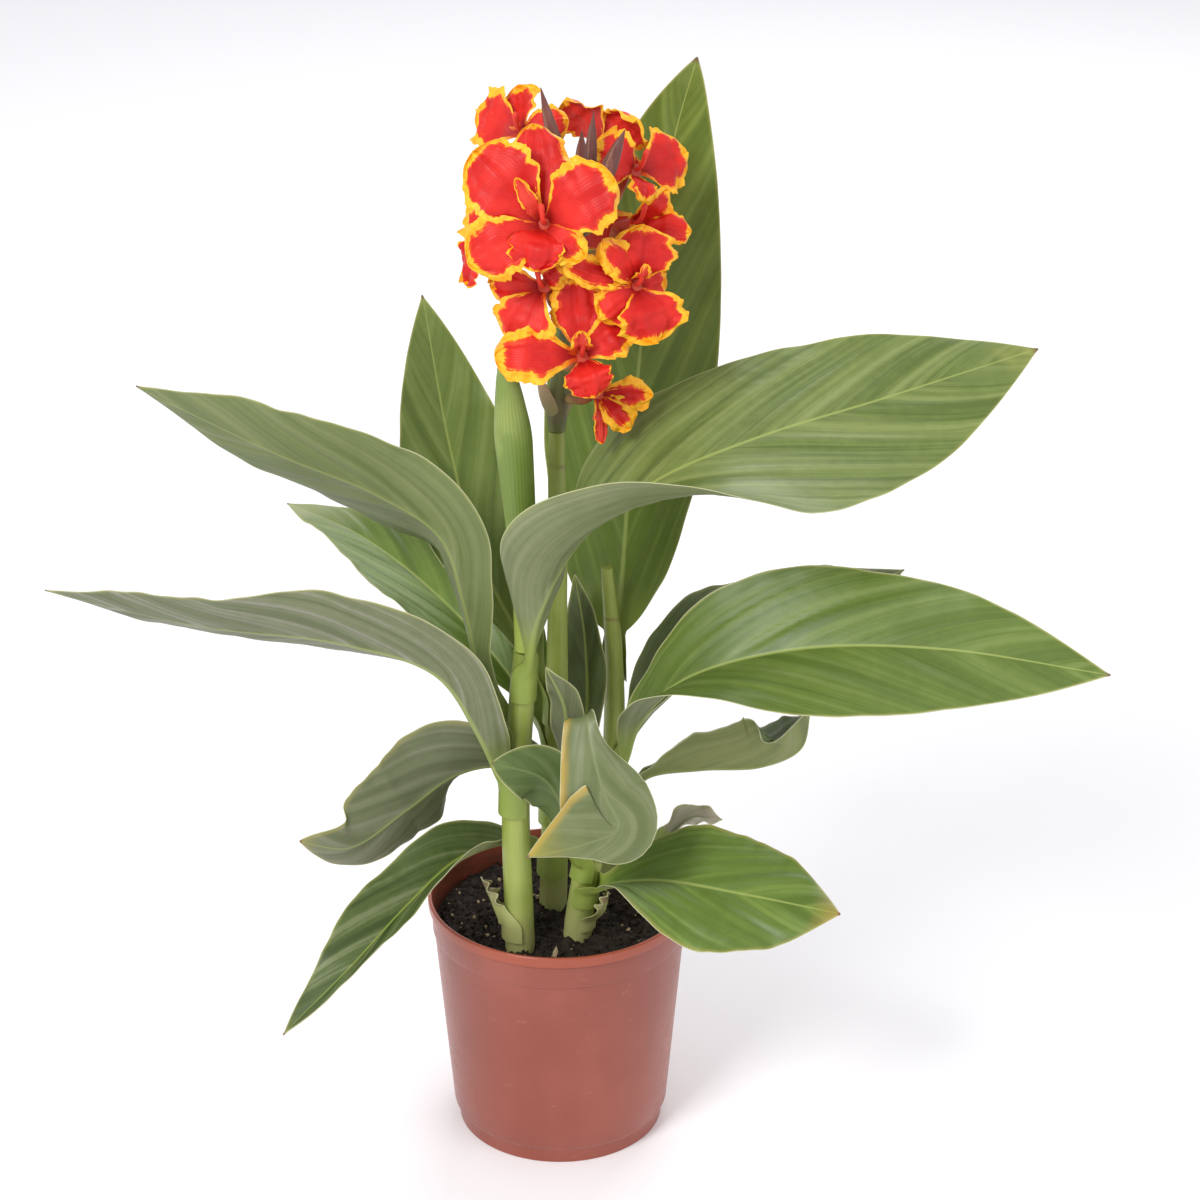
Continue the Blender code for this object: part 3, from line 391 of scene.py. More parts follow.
# The leaves, with lengths in mm. leavesAt is the height where the blade parts from its shoot, path
# the midrib from there to the tip, faces the way the upper side looks from base to tip, width the
# full width and widest where along the blade it is. rise and curl are angles and shares is a share
# of the width, each at evenly spaced places from base to tip, for both sides or as (left, right).
leaves = {
    "leaf_right_upper": dict(
        shoot="shoot_front", leavesAt=302, width=134, widest=0.50,
        path=[(-9, -62, 348), (12, -66, 392), (52, -56, 422), (107, -34, 438), (172, -6, 448),
              (259, 30, 463)],
        faces=[(-0.2, 0.6, 0.8), (-0.25, -0.1, 1.0), (-0.2, -0.5, 0.9), (-0.1, -0.6, 0.8)],
        rise=[(30, 15), (12, 0), (8, -8), (5, -5), 5],
        curl=[(30, 140), (-10, 110), (-10, 10), -10, -10],
        shares=[(0.7, 1.0), 1.0, (0.92, 1.0), (0.92, 1.0)],
    ),
    "leaf_right_middle": dict(
        shoot="shoot_right", leavesAt=236, width=92, widest=0.45,
        path=[(45, -36, 272), (71, -50, 305), (129, -62, 328), (202, -72, 333), (291, -85, 324)],
        faces=[(-0.5, 0.2, 0.8), (-0.3, -0.5, 0.9), (0.1, -0.7, 0.7), (0.2, -0.8, 0.6)],
        rise=[40, (12, 8), 5], curl=[30, -5, -10],
        shares=[(0.5, 0.8), 1.0, (0.95, 1.0), 1.0],
    ),
    "leaf_right_back": dict(
        shoot="shoot_back", leavesAt=222, width=72, widest=0.42,
        path=[(54, 24, 250), (82, 40, 272), (135, 75, 283), (200, 110, 296)],
        faces=[(-0.5, -0.3, 0.8), (-0.3, -0.5, 0.9), (0.0, -0.5, 0.9)],
        rise=[35, 15, 5], curl=[30, 10, -10],
    ),
    "leaf_right_rolled": dict(
        shoot="shoot_back", leavesAt=186, width=80, widest=0.60,
        path=[(50, 20, 208), (80, 18, 214), (115, 16, 217), (136, 14, 229), (141, 12, 255)],
        faces=[(-0.4, 0.2, 0.9), (0.0, 0.1, 1.0), (-0.3, 0.1, 1.0), (-0.8, 0.0, 0.6)],
        rise=[30, (15, 60), (15, 60), (10, 45)], curl=[10, (0, 20), (0, 10), (-10, 0)],
    ),
    "leaf_right_lower": dict(
        shoot="shoot_right", leavesAt=161, width=80, widest=0.52, sheath=9,
        path=[(29, -48, 176), (56, -64, 188), (102, -86, 192), (152, -105, 191)],
        faces=[(-0.3, 0.1, 1.0), (0.0, -0.45, 0.9), (0.15, -0.5, 0.85)],
        rise=[40, (10, 0), 0], curl=[20, (-25, -20), (-20, -10)],
    ),
    "leaf_front_drooping": dict(
        shoot="shoot_right", leavesAt=196, width=62, widest=0.72, sheath=10,
        path=[(18, -49, 240), (15, -55, 280), (16, -66, 290), (19, -78, 276), (26, -89, 254),
              (33, -96, 239), (16, -101, 232), (-16, -105, 226)],
        faces=[(0.0, 1.0, 0.3), (0.0, 0.6, 1.0), (-0.1, -0.9, 0.4), (-0.1, -0.95, 0.3), (-0.2, -0.95, 0.3)],
        rise=[40, 0, 0], curl=[30, (-30, 0), (-20, 0)],
        shares=[1.0, (0.7, 0.8), (0.4, 0.8), (0.3, 0.75), (0.25, 0.7), 0.8, (0.7, 1.0), (0.2, 1.0),
                (0.2, 0.8)],
    ),
    "leaf_left_lower": dict(
        shoot="shoot_flowering", leavesAt=200, width=76, widest=0.42, sharpness=0.8,
        path=[(-22, -6, 224), (-36, -10, 231), (-58, -18, 229), (-84, -30, 214), (-115, -42, 197),
              (-142, -48, 204)],
        faces=[(0.6, 0.5, 0.7), (0.3, 0.8, 0.6), (0.0, 0.9, 0.4), (0.0, 0.9, 0.3)],
        rise=[35, 5, 0], curl=[20, 20, (10, 30)],
    ),
    "leaf_front_dark": dict(
        shoot="shoot_right", leavesAt=178, width=36, widest=0.62, sheath=8,
        sharpness=0.8, clasp=45, spare=0.8,
        path=[(4, -48, 204), (2, -60, 234), (-8, -64, 252), (-35, -66, 262)],
        faces=[(0.1, 1.0, 0.2), (0.2, 0.9, -0.3), (0.3, 0.85, -0.45)],
        rise=[35, 5, 0], curl=[20, 0, 0],
    ),
    "leaf_left_bottom": dict(
        shoot="shoot_flowering", leavesAt=166, width=50, widest=0.50,
        path=[(-24, -14, 184), (-38, -28, 190), (-58, -48, 190), (-83, -78, 179), (-111, -112, 162),
              (-146, -138, 136)],
        faces=[(0.5, 0.3, 0.8), (0.3, 0.3, 0.9), (-0.4, -0.3, 0.9), (-0.5, -0.4, 0.8)],
        rise=[45, (30, 25), 20], curl=[20, 15, 0],
    ),
    "leaf_left_long": dict(
        shoot="shoot_front", leavesAt=232, width=72, widest=0.46,
        path=[(-43, -56, 276), (-64, -54, 309), (-115, -34, 318), (-198, 8, 309), (-291, 60, 306)],
        faces=[(0.5, 0.6, 0.6), (0.2, 0.8, 0.6), (0.0, 0.8, 0.7), (0.0, 0.8, 0.7)],
        rise=[35, 0, 0], curl=[(20, 30), (20, 30), 10],
    ),
    "leaf_left_upper": dict(
        shoot="shoot_front", leavesAt=262, width=96, widest=0.46,
        path=[(-42, -32, 298), (-50, -26, 338), (-62, -12, 370), (-95, 6, 387), (-154, 32, 402),
              (-233, 65, 428)],
        faces=[(0.8, 0.6, 0.2), (0.5, 0.8, 0.4), (0.1, 0.85, 0.5), (0.1, 0.8, 0.6)],
        rise=[35, 0, 0], curl=[30, (10, 30), 10],
        shares=[(0.25, 1.0), (0.5, 1.0), (0.9, 1.0), 1.0, 1.0],
    ),
    "leaf_left_upright": dict(
        shoot="shoot_flowering", leavesAt=264, width=72, widest=0.45,
        path=[(-24, 26, 296), (-44, 50, 330), (-60, 70, 385), (-75, 85, 474)],
        faces=[(0.6, -0.7, 0.3), (0.3, -0.9, 0.2), (0.2, -0.9, 0.1)],
        rise=[35, (20, 15), 10], curl=[30, 5, 0],
    ),
    "leaf_left_back": dict(
        shoot="shoot_flowering", leavesAt=234, width=82, widest=0.40,
        path=[(-24, 26, 262), (-50, 46, 288), (-85, 80, 308), (-118, 108, 320), (-160, 140, 325)],
        faces=[(0.5, -0.5, 0.7), (0.3, -0.7, 0.7), (0.3, -0.3, 0.9), (0.2, -0.2, 1.0)],
        rise=[35, 20, 5], curl=[30, 10, 0],
    ),
    "leaf_right_upright": dict(
        shoot="shoot_back", leavesAt=276, width=100, widest=0.40, sharpness=0.85,
        path=[(36, 56, 318), (42, 76, 400), (51, 88, 490), (63, 86, 562), (75, 80, 610)],
        faces=[(-0.5, -0.8, 0.2), (-0.3, -1.0, 0.2), (-0.1, -1.0, 0.1), (0.0, -1.0, 0.1)],
        rise=[15, (10, 15), (5, 10)], curl=[15, (0, 10), 0],
    ),
    "leaf_middle_small": dict(
        shoot="shoot_flowering", leavesAt=213, width=26, widest=0.45, sheath=8, clasp=50,
        path=[(15, 18, 240), (15, 27, 290), (9, 36, 328)],
        faces=[(-0.3, -0.9, 0.2), (-0.3, -0.9, 0.3)],
        rise=[20, 10], curl=[10, 0],
    ),
    "husk_left": dict(
        shoot="shoot_front", leavesAt=146, width=14, widest=0.30, sheath=8,
        path=[(-36, -40, 160), (-43, -38, 176)],
        faces=[(0.9, 0.1, 0.4), (0.8, 0.1, 0.6)], husk=True,
        rise=[20, 10], curl=[30, 10],
    ),
    "husk_right": dict(
        shoot="shoot_right", leavesAt=143, width=12, widest=0.30, sheath=6, clasp=60,
        path=[(25, -34, 152), (28, -37, 166)],
        faces=[(-0.9, 0.3, 0.4), (-0.8, 0.3, 0.6)], husk=True,
        rise=[20, 10], curl=[30, 10],
    ),
    "leaf_inner_small": dict(
        shoot="shoot_right", leavesAt=222, width=22, widest=0.50, sheath=3, clasp=25, spare=1.2,
        path=[(6, -38, 250), (4, -46, 286), (-6, -50, 312)],
        faces=[(0.2, 0.9, 0.2), (0.2, 0.9, 0.3)],
        rise=[35, 10], curl=[20, 0],
    ),
    "leaf_small": dict(
        shoot="shoot_small", leavesAt=150, width=18, widest=0.45, sheath=8, petiole=16,
        path=[(64, 34, 162), (76, 40, 170), (94, 42, 168)],
        faces=[(-0.3, -0.2, 0.9), (0.0, -0.5, 0.9)],
        rise=[35, 10], curl=[20, 0],
    ),
}
leafDefaults = dict(sheath=14, petiole=14, clasp=80, spare=0.5, sharpness=1.0, shares=[1, 1])
leafLengths = ("leavesAt", "width", "path", "sheath", "petiole", "spare")
leafShape = {
    "rows": 150,
    "columns": 40,
    "pathPoints": 300,
    "thickness": 0.0008,
    "marginThickness": 0.00034,
    "ribHeight": 0.0015,
    "ribHalfWidth": (0.0022, 0.0004),  # how much it narrows towards the tip, and what is left there
    "groove": 0.0005,
    "petioleHalfWidth": 0.0065,
    "gap": 0.0003,
    "sheathShell": 0.0009,
    "rowShare": (0.35, 0.30),  # a blade gets the share first + length / second of the rows, at most all
    "fullWidth": 0.07,  # a narrower blade has smaller pleats and waves
    "swell": (0.002, 2.5, 0.3),  # the long waves of a margin: height, how many, where they start
    "marginWave": 0.0007,
    "veins": (2.1, 0.9),  # how far they slant, and how much they arch
    "pleats": [(57.0, 1.0), (33.0, 0.9), (19.0, 0.55), (11.5, 0.22)],  # width along the midrib in mm, share
    "pleatHeight": 0.00042,
}


def bladeWidth(t, widest, sharpness):  # share of the half width: t^a (1-t)^b, 1 at widest
    before = sharpness * widest / (1 - widest)
    peak = widest**before * (1 - widest) ** sharpness
    return np.clip(t, 0, 1) ** before * np.clip(1 - t, 0, 1) ** sharpness / peak


def halfBody(share, rows, edge, middle):  # half the thickness, from a thin edge to the middle
    body = edge + (middle - edge) * (1 - np.abs(share) ** 3)
    return body[None, :] / 2 * np.ones((rows, 1))


def bySide(share, pair):  # of each row's (left, right) values, the one for the side each column is on
    return np.where((share < 0)[None, :], pair[:, :1], pair[:, 1:])


# The middle surface of a blade. Each row leaves the midrib at the angle rise and turns by curl
# more on its way out, so it is an arc: out = r (sin end - sin start), lift = r (cos start - cos end).
def bladeSurface(path, u, faces, half, rise, curl, share, wave):
    tangent = unit(np.gradient(path, u, axis=0))
    normal = unit(faces - (faces * tangent).sum(1, keepdims=True) * tangent)
    side = np.cross(tangent, normal)
    start, turn = np.radians(bySide(share, rise)), np.radians(bySide(share, curl))
    turn = np.where(np.abs(turn) < 1e-4, 1e-4, turn)
    radius = bySide(share, half) / turn
    end = start + turn * np.abs(share)[None, :]
    out = radius * (np.sin(end) - np.sin(start)) * np.sign(share)[None, :]
    lift = radius * (np.cos(start) - np.cos(end)) + wave
    return path[:, None] + side[:, None] * out[..., None] + normal[:, None] * lift[..., None]


# A point of a blade that would lie inside its own shoot moves straight out until it clears it.
def clearOfShoot(surface, name, spare):
    path, radii = shootLine(name)
    height = surface[..., 2]
    centre = lineAt(path, height, (0, 1))
    off = surface[..., :2] - centre
    far = np.maximum(np.linalg.norm(off, axis=-1), 1e-6)
    least = np.where(height < path[-1, 2] + spare, np.interp(height, path[:, 2], radii) + spare, 0)
    moved = surface.copy()
    moved[..., :2] = centre + off * np.maximum(least / far, 1)[..., None]
    return moved


def makeLeaf(name, spec, seed, finish):
    rng = np.random.default_rng(seed)
    spec = {**leafDefaults, **spec}
    spec.update({key: np.array(spec[key]) / 1000 for key in leafLengths})
    shape = leafShape
    line, radii = shootLine(spec["shoot"])
    top, wrap = spec["leavesAt"], spec["clasp"]
    centre, foot = lineAt(line, top), lineAt(line, top - spec["sheath"])
    radius, footRadius = np.interp([top, top - spec["sheath"]], line[:, 2], radii)
    out = spec["path"][0] - centre
    out[2] = 0
    out = unit(out)
    spare = shape["gap"] + shape["sheathShell"] / 2 + spec["spare"]
    heldFrom, heldTo = foot + out * (footRadius + spare), centre + out * (radius + spare)
    count = shape["pathPoints"]
    blade, length = curveThrough([heldTo, *spec["path"]], count, before=heldFrom)
    held = np.linalg.norm(heldTo - heldFrom)
    neck = held / (held + length)
    length += held
    bladeFrom = neck + spec["petiole"] / length
    least, whole = shape["rowShare"]
    rows = int(shape["rows"] * min(1.0, least + length / whole))
    along = lambda points: neck + (1 - neck) * evenly(points)  # places from the neck to the tip
    u = np.concatenate([np.linspace(0, neck, 7)[:-1], along(rows - 6)])
    path = readAt(u, np.concatenate([[0], along(count)]), np.vstack([heldFrom, blade]))
    t = np.clip((u - bladeFrom) / (1 - bladeFrom), 0, 1)
    leaving = ease((u - neck) / (bladeFrom - neck))[:, None]
    full = spec["width"] / 2 * bladeWidth(t, spec["widest"], spec["sharpness"])
    hold = (radius + spare) * math.radians(wrap) * (1 - leaving) + shape["petioleHalfWidth"] * leaving
    full = full[:, None] * alongBlade(spec["shares"], t)
    half = np.maximum(np.sqrt(full**2 + (hold * ease(1 - t * 2.5)[:, None]) ** 2), 0.0004)
    rise = alongBlade(spec["rise"], t) * leaving
    curl = alongBlade(spec["curl"], t) * leaving + wrap * (1 - leaving)
    faces = unit(alongBlade(spec["faces"], t)) * leaving - out * (1 - leaving)
    q = np.linspace(-1, 1, shape["columns"] + 1)
    share = np.sign(q) * np.abs(q) ** 1.35
    height, count, phase = shape["swell"]
    fade = ease(4 * (1 - t))[:, None]
    turns = count * t[:, None] + phase * np.where(share < 0, 1, 2)[None, :]
    wave = height * share[None, :] ** 2 * np.sin(2 * math.pi * turns) * fade
    edgeRipple = bySide(share, np.stack([ripple(t, rng, (5, 9, 14)), ripple(t, rng, (4, 8, 13))], axis=1))
    size = min(1.0, spec["width"] / shape["fullWidth"])
    wave = wave + shape["marginWave"] * size * edgeRipple * np.abs(share)[None, :] ** 4 * fade * leaving
    # Veins leave the midrib at an acute angle and arch on: vein = s - a d - b d^2 / half width.
    halfHere = bySide(share, half)
    d = np.abs(share)[None, :] * halfHere
    s = (u * length)[:, None]
    slant, arch = shape["veins"]
    vein = (s - slant * d - arch * d * d / np.maximum(halfHere, 0.002)) * 1000
    # Pleats of four widths run along the veins, each a sine, and fade at the rib and the margin.
    relief = sum(much * np.sin(2 * math.pi * vein / wide + seed * (k + 1.7)) for k, (wide, much) in
                 enumerate(shape["pleats"]))
    middle = (1 - np.exp(-((d / 0.006) ** 2))) * (1 - np.abs(share)[None, :] ** 5)
    wave = wave + shape["pleatHeight"] * size * relief * middle * fade * leaving
    surface = bladeSurface(path, u, faces, half, rise, curl, share, wave)
    # The rib stands out below and leaves a groove above: both fall off as exp(-(d / width)^2).
    narrows, least = shape["ribHalfWidth"]
    ribWidth = (narrows * (1 - u) ** 0.6 + least)[:, None]
    hump = np.exp(-((d / ribWidth) ** 2)) * (ease((u - neck) / 0.05) * (1 - u) ** 0.7)[:, None]
    body = halfBody(share, len(u), shape["marginThickness"], shape["thickness"])
    surface = clearOfShoot(surface, spec["shoot"], shape["gap"] + body + shape["ribHeight"] * hump)
    build = Build()
    addShell(build, surface, body - shape["groove"] * hump * 0.5, body + shape["ribHeight"] * hump,
             lengthwise=t[:, None], across=share[None, :], vein=vein, reach=d * 1000,
             margin=(halfHere - d) * 1000, sheath=1 - ease((t / 0.10))[:, None])
    build.piece(name + "_blade", [finish], name, 60)


def topTones(top, deep, light):  # the upper face's main colour, and what the veins vary it by
    return {"top": top, "deep": deep, "light": light}


def backTones(back, deep, light):  # the same for the face below
    return {"back": back, "backDeep": deep, "backLight": light}


# Leaf colours. tip is (colour, where it starts, how much), edge (colour, mm in from the margin, how
# much), edgeSide 1 or -1 where only one margin has that edge.
leafLook = {
    **topTones((110, 126, 60), (84, 102, 42), (134, 148, 84)),
    **backTones((116, 124, 84), (98, 108, 66), (136, 140, 106)),
    "rib": (152, 166, 88), "backRib": (140, 152, 88), "margin": (196, 196, 156),
    "stem": (138, 156, 66), "tip": ((180, 176, 92), 0.95, 0.4),
    "edge": ((170, 168, 84), 1.5, 0.3), "contrast": 0.62, "point": (104, 78, 56),
}
dull = topTones((92, 104, 62), (72, 84, 46), (120, 126, 92))
dark = topTones((84, 100, 50), (62, 78, 34), (110, 124, 74))
bright = topTones((106, 130, 50), (82, 104, 36), (134, 154, 72))
grey = {**topTones((116, 124, 86), (98, 108, 68), (144, 148, 118)), "rib": (130, 138, 98)}
greyBack = backTones((110, 116, 84), (90, 98, 64), (136, 138, 116))
looks = {
    "leaf_right_upper": {**topTones((114, 130, 66), (86, 104, 44), (140, 152, 90)), "contrast": 0.9},
    "leaf_right_middle": {**topTones((100, 120, 50), (76, 98, 34), (130, 146, 78)),
                          "edge": ((190, 184, 110), 1.2, 0.4)},
    "leaf_right_back": dull,
    "leaf_right_rolled": {**dark, "back": (124, 132, 72), "edge": ((200, 196, 156), 1.0, 0.6)},
    "leaf_right_lower": {**topTones((98, 122, 48), (78, 100, 34), (134, 154, 76)),
                         "tip": ((176, 148, 78), 0.88, 0.7),
                         "edge": ((176, 160, 84), 2.4, 0.4), "point": (128, 58, 40)},
    "leaf_front_drooping": {**topTones((108, 118, 76), (90, 102, 58), (132, 138, 104)),
                            "rib": (118, 128, 84), "tip": ((160, 150, 58), 0.84, 0.8),
                            "edge": ((182, 152, 68), 5.0, 0.8), "edgeSide": 1},
    "leaf_left_lower": {**greyBack, "tip": ((160, 150, 80), 0.88, 0.7),
                        "edge": ((162, 154, 84), 3.0, 0.45), "point": (120, 76, 44)},
    "leaf_front_dark": {**dark, **backTones((86, 104, 52), (68, 86, 40), (108, 124, 72)),
                        "backRib": (106, 122, 66)},
    "leaf_left_bottom": {**dark, "light": (128, 136, 96), "contrast": 1.0,
                         "rib": (150, 168, 74), "back": (134, 138, 96)},
    "leaf_left_long": {**greyBack, "contrast": 0.9, "backLight": (150, 146, 134)},
    "leaf_left_upper": backTones((112, 124, 74), (92, 106, 54), (134, 142, 96)),
    "leaf_left_upright": topTones((112, 130, 62), (88, 108, 44), (140, 154, 88)),
    "leaf_left_back": {**bright, "tip": ((176, 180, 136), 0.75, 0.6)},
    "leaf_right_upright": {**bright, "top": (104, 124, 50)},
    "leaf_middle_small": dull,
    "leaf_inner_small": {**greyBack, "top": (128, 136, 100)},
    "leaf_small": {**grey, **topTones((160, 154, 136), (144, 142, 118), (178, 170, 156)),
                   "back": (162, 156, 138), "tip": ((176, 162, 146), 0.6, 0.6)},
}
huskLook = {
    **topTones((150, 142, 92), (120, 104, 66), (182, 174, 128)),
    **backTones((158, 156, 104), (124, 110, 70), (188, 184, 140)),
    "tip": ((112, 84, 60), 0.35, 0.8), "stem": (166, 172, 106),
}


def leafFinish(name, look):
    look = {**leafLook, **look}
    finish = Finish(name, Specular_IOR_Level=0.4)
    upper = finish.read("upper")
    vein, reach, margin = finish.read("vein"), finish.read("reach"), finish.read("margin")
    lengthwise = finish.read("lengthwise")
    cloud = finish.noise(26, 3, 0.55)
    mottle = finish.noise(150, 4, 0.6)
    # Stripes follow the veins: noise read at (vein, distance from the rib), drawn out along the vein.
    across = finish.combined(vein, reach * 0.16, lengthwise * 3)
    broad = finish.noise(0.075, 2, 0.5, across)
    threads = finish.noise(0.42, 2, 0.6, across)
    stripe = broad * 0.70 + threads * 0.16 + mottle * 0.14

    def face(main, deep, light, rib):
        much = look["contrast"]
        base = finish.mix((1 - stripe.between(0.36, 0.52)) * much, main, deep)
        base = finish.mix(stripe.between(0.50, 0.64) * 0.7 * much, base, light)
        base = finish.mix(cloud.between(0.48, 0.72) * 0.3, base, deep)
        ribSize = (1 - lengthwise) * 1.7 + 0.35
        return finish.mix((1 - (reach / ribSize).between(0.35, 1.15)) * 0.85, base, rib)

    base = finish.mix(upper, face(look["back"], look["backDeep"], look["backLight"], look["backRib"]),
                      face(look["top"], look["deep"], look["light"], look["rib"]))
    tipColour, tipFrom, tipMuch = look["tip"]
    patchy = lengthwise + (cloud - 0.5) * 0.25
    base = finish.mix(patchy.between(tipFrom, min(1.04, tipFrom + 0.22)) * tipMuch, base, tipColour)
    edgeColour, edgeReach, edgeMuch = look["edge"]
    nearEdge = 1 - (margin + (cloud - 0.5) * edgeReach * 1.6).between(edgeReach * 0.2, edgeReach * 1.3)
    if look.get("edgeSide"):
        nearEdge = nearEdge * (finish.read("across") * look["edgeSide"]).between(-0.3, 0.3)
    base = finish.mix(nearEdge * edgeMuch, base, edgeColour)
    base = finish.mix((1 - margin.between(0.15, 0.55)) * 0.8, base, look["margin"])
    base = finish.mix(finish.read("sheath") * 0.85, base, look["stem"])
    base = finish.mix(lengthwise.between(0.985, 1.0), base, look["point"])
    rough = (1 - upper) * 0.10 + mottle * 0.16 + 0.34
    height = broad * 0.5 + threads * 0.35 + mottle * 0.12
    return finish.surface(base, rough, height, 0.45, 0.0005)


for seed, (name, spec) in enumerate(leaves.items()):
    look = huskLook if spec.get("husk") else looks.get(name, {})
    makeLeaf(name, spec, 20 + seed, leafFinish(name + "_skin", look))
print("leaves made:", len(leaves))


# The blooms, with lengths in mm. fromHeight is where a bloom's tube leaves the stalk, throat its
# open end, turn how far it looks round from the front. A petal is its tip from the throat (right,
# up, out), the outward bow of its middle, its width, and the place of its widest part if not 0.6.
blooms = {
    "bloom_front": dict(
        fromHeight=514, throat=(-5, -40, 557), turn=-8,
        petals=[(-37, 34, 8, 5, 36), (-9, 50, -6, 4, 28), (36, 24, 10, 6, 34, 0.62),
                (-37, -22, 6, 6, 29, 0.65), (-4, -24, 8, 6, 24), (-13, 22, 17, 4, 9, 0.50),
                (21, -17, 2, 4, 17)],
    ),
    "bloom_low": dict(
        fromHeight=466, throat=(14, -36, 484), turn=0,
        petals=[(-4, 40, 8, -2, 24), (-45, 1, 14, 5, 25, 0.62), (6, -21, 8, 6, 22),
                (-1, 13, 15, 3, 11, 0.50), (24, 16, -2, 4, 20)],
    ),
    "bloom_right": dict(
        fromHeight=490, throat=(42, -26, 519), turn=25,
        petals=[(6, 30, 6, 6, 30), (4, -30, 6, 5, 33), (-20, 25, 10, 4, 17),
                (-42, 17, 12, -2, 15, 0.65), (1, 10, 14, 3, 9, 0.50), (18, 4, -4, 4, 24),
                (-22, -14, -2, 4, 22)],
    ),
    "bloom_right_far": dict(
        fromHeight=524, throat=(40, 14, 538), turn=60,
        petals=[(13, 12, 20, 4, 16), (12, -12, 26, 4, 17, 0.70), (-14, -12, 14, 3, 16)],
    ),
    "bloom_right_top": dict(
        fromHeight=538, throat=(42, 20, 566), turn=35,
        petals=[(34, 4, 0, 3, 30, 0.55), (-24, 16, 2, 4, 26), (-8, -16, 14, 3, 15)],
    ),
    "bloom_top": dict(
        fromHeight=546, throat=(24, 34, 574), turn=150,
        petals=[(20, 24, 4, 4, 28), (-20, 16, 8, 5, 26), (-4, -24, 12, 4, 26)],
    ),
    "bloom_top_left": dict(
        fromHeight=536, throat=(-16, 14, 588), turn=-40, spare=1.0,
        petals=[(-34, 6, 0, 4, 28), (-14, 22, -4, 3, 24), (20, 12, -8, 3, 18)],
    ),
    "bloom_left": dict(
        fromHeight=524, throat=(-28, -12, 540), turn=-60,
        petals=[(-20, 14, 8, 6, 26), (-8, -28, 8, 8, 24), (18, 8, 14, 4, 16)],
    ),
    "bloom_left_low": dict(
        fromHeight=496, throat=(-6, -28, 519), turn=-20,
        petals=[(-12, -33, 2, 5, 32, 0.62), (-30, -2, -2, 4, 20), (12, 12, 6, 3, 14)],
    ),
    "bloom_bottom": dict(
        fromHeight=448, throat=(22, -21, 457), turn=20,
        petals=[(28, -4, 6, 4, 16), (14, -20, 6, 4, 15), (-2, -26, 2, 2, 8)],
    ),
    "bloom_back": dict(
        fromHeight=482, throat=(6, 36, 516), turn=180,
        petals=[(-34, 20, 6, 6, 32), (4, 34, 4, 4, 28), (34, 14, 6, 6, 30), (0, -28, 8, 6, 26)],
    ),
}
stalk = [(0.000, 0.000, 0.4285), (0.001, 0.000, 0.450), (0.006, -0.001, 0.490), (0.012, -0.001, 0.530),
         (0.013, -0.001, 0.5595)]
# Places along the stalk, and the radius at each.
stalkRadii = ((0, 0.10, 0.22, 0.6, 1), (0.0046, 0.0062, 0.0046, 0.0036, 0.0026))
petalShape = {
    "rows": 44,
    "columns": 30,
    "pathPoints": 200,
    "fuller": 1.20,  # how much wider an outer petal is than the solid's
    "thickness": 0.0006,
    "rimThickness": 0.00022,
    "claw": 0.0024,
    "ruffle": 0.0020,
    "crease": 0.0009,
    "fold": 0.0004,
    "raggedness": 0.060,
    "widest": 0.6,
    "innerWidth": 12,  # a petal narrower than this, in mm, is an inner one
    "innerGold": 0.8,  # the width of an inner petal's border, in mm
    "border": (2.4, 5.0),  # least and greatest width of an outer petal's border, in mm
    "tube": 0.008,
    "tubePoints": 40,
}
# Borders of a set width, in mm: (bloom, which of its petals).
goldenPetals = {("bloom_left", 1): 1.0, ("bloom_left", 0): 8.0, ("bloom_left_low", 0): 6.5,
                ("bloom_bottom", 0): 5.0, ("bloom_right_far", 2): 9.0, ("bloom_front", 0): 3.6,
                ("bloom_front", 4): 0.8, ("bloom_low", 2): 0.8, ("bloom_low", 1): 6.0}


def stalkSide(height, towards, spare):  # a point just off the stalk, on the side that looks there
    path, _ = curveThrough(stalk, 40)
    centre = lineAt(path, height)
    radius = np.interp(np.interp(height, path[:, 2], evenly(40)), *stalkRadii)
    side = unit(np.array([towards[0] - centre[0], towards[1] - centre[1], 0.0]))
    return centre + side * (radius + leafShape["gap"] + spare), side


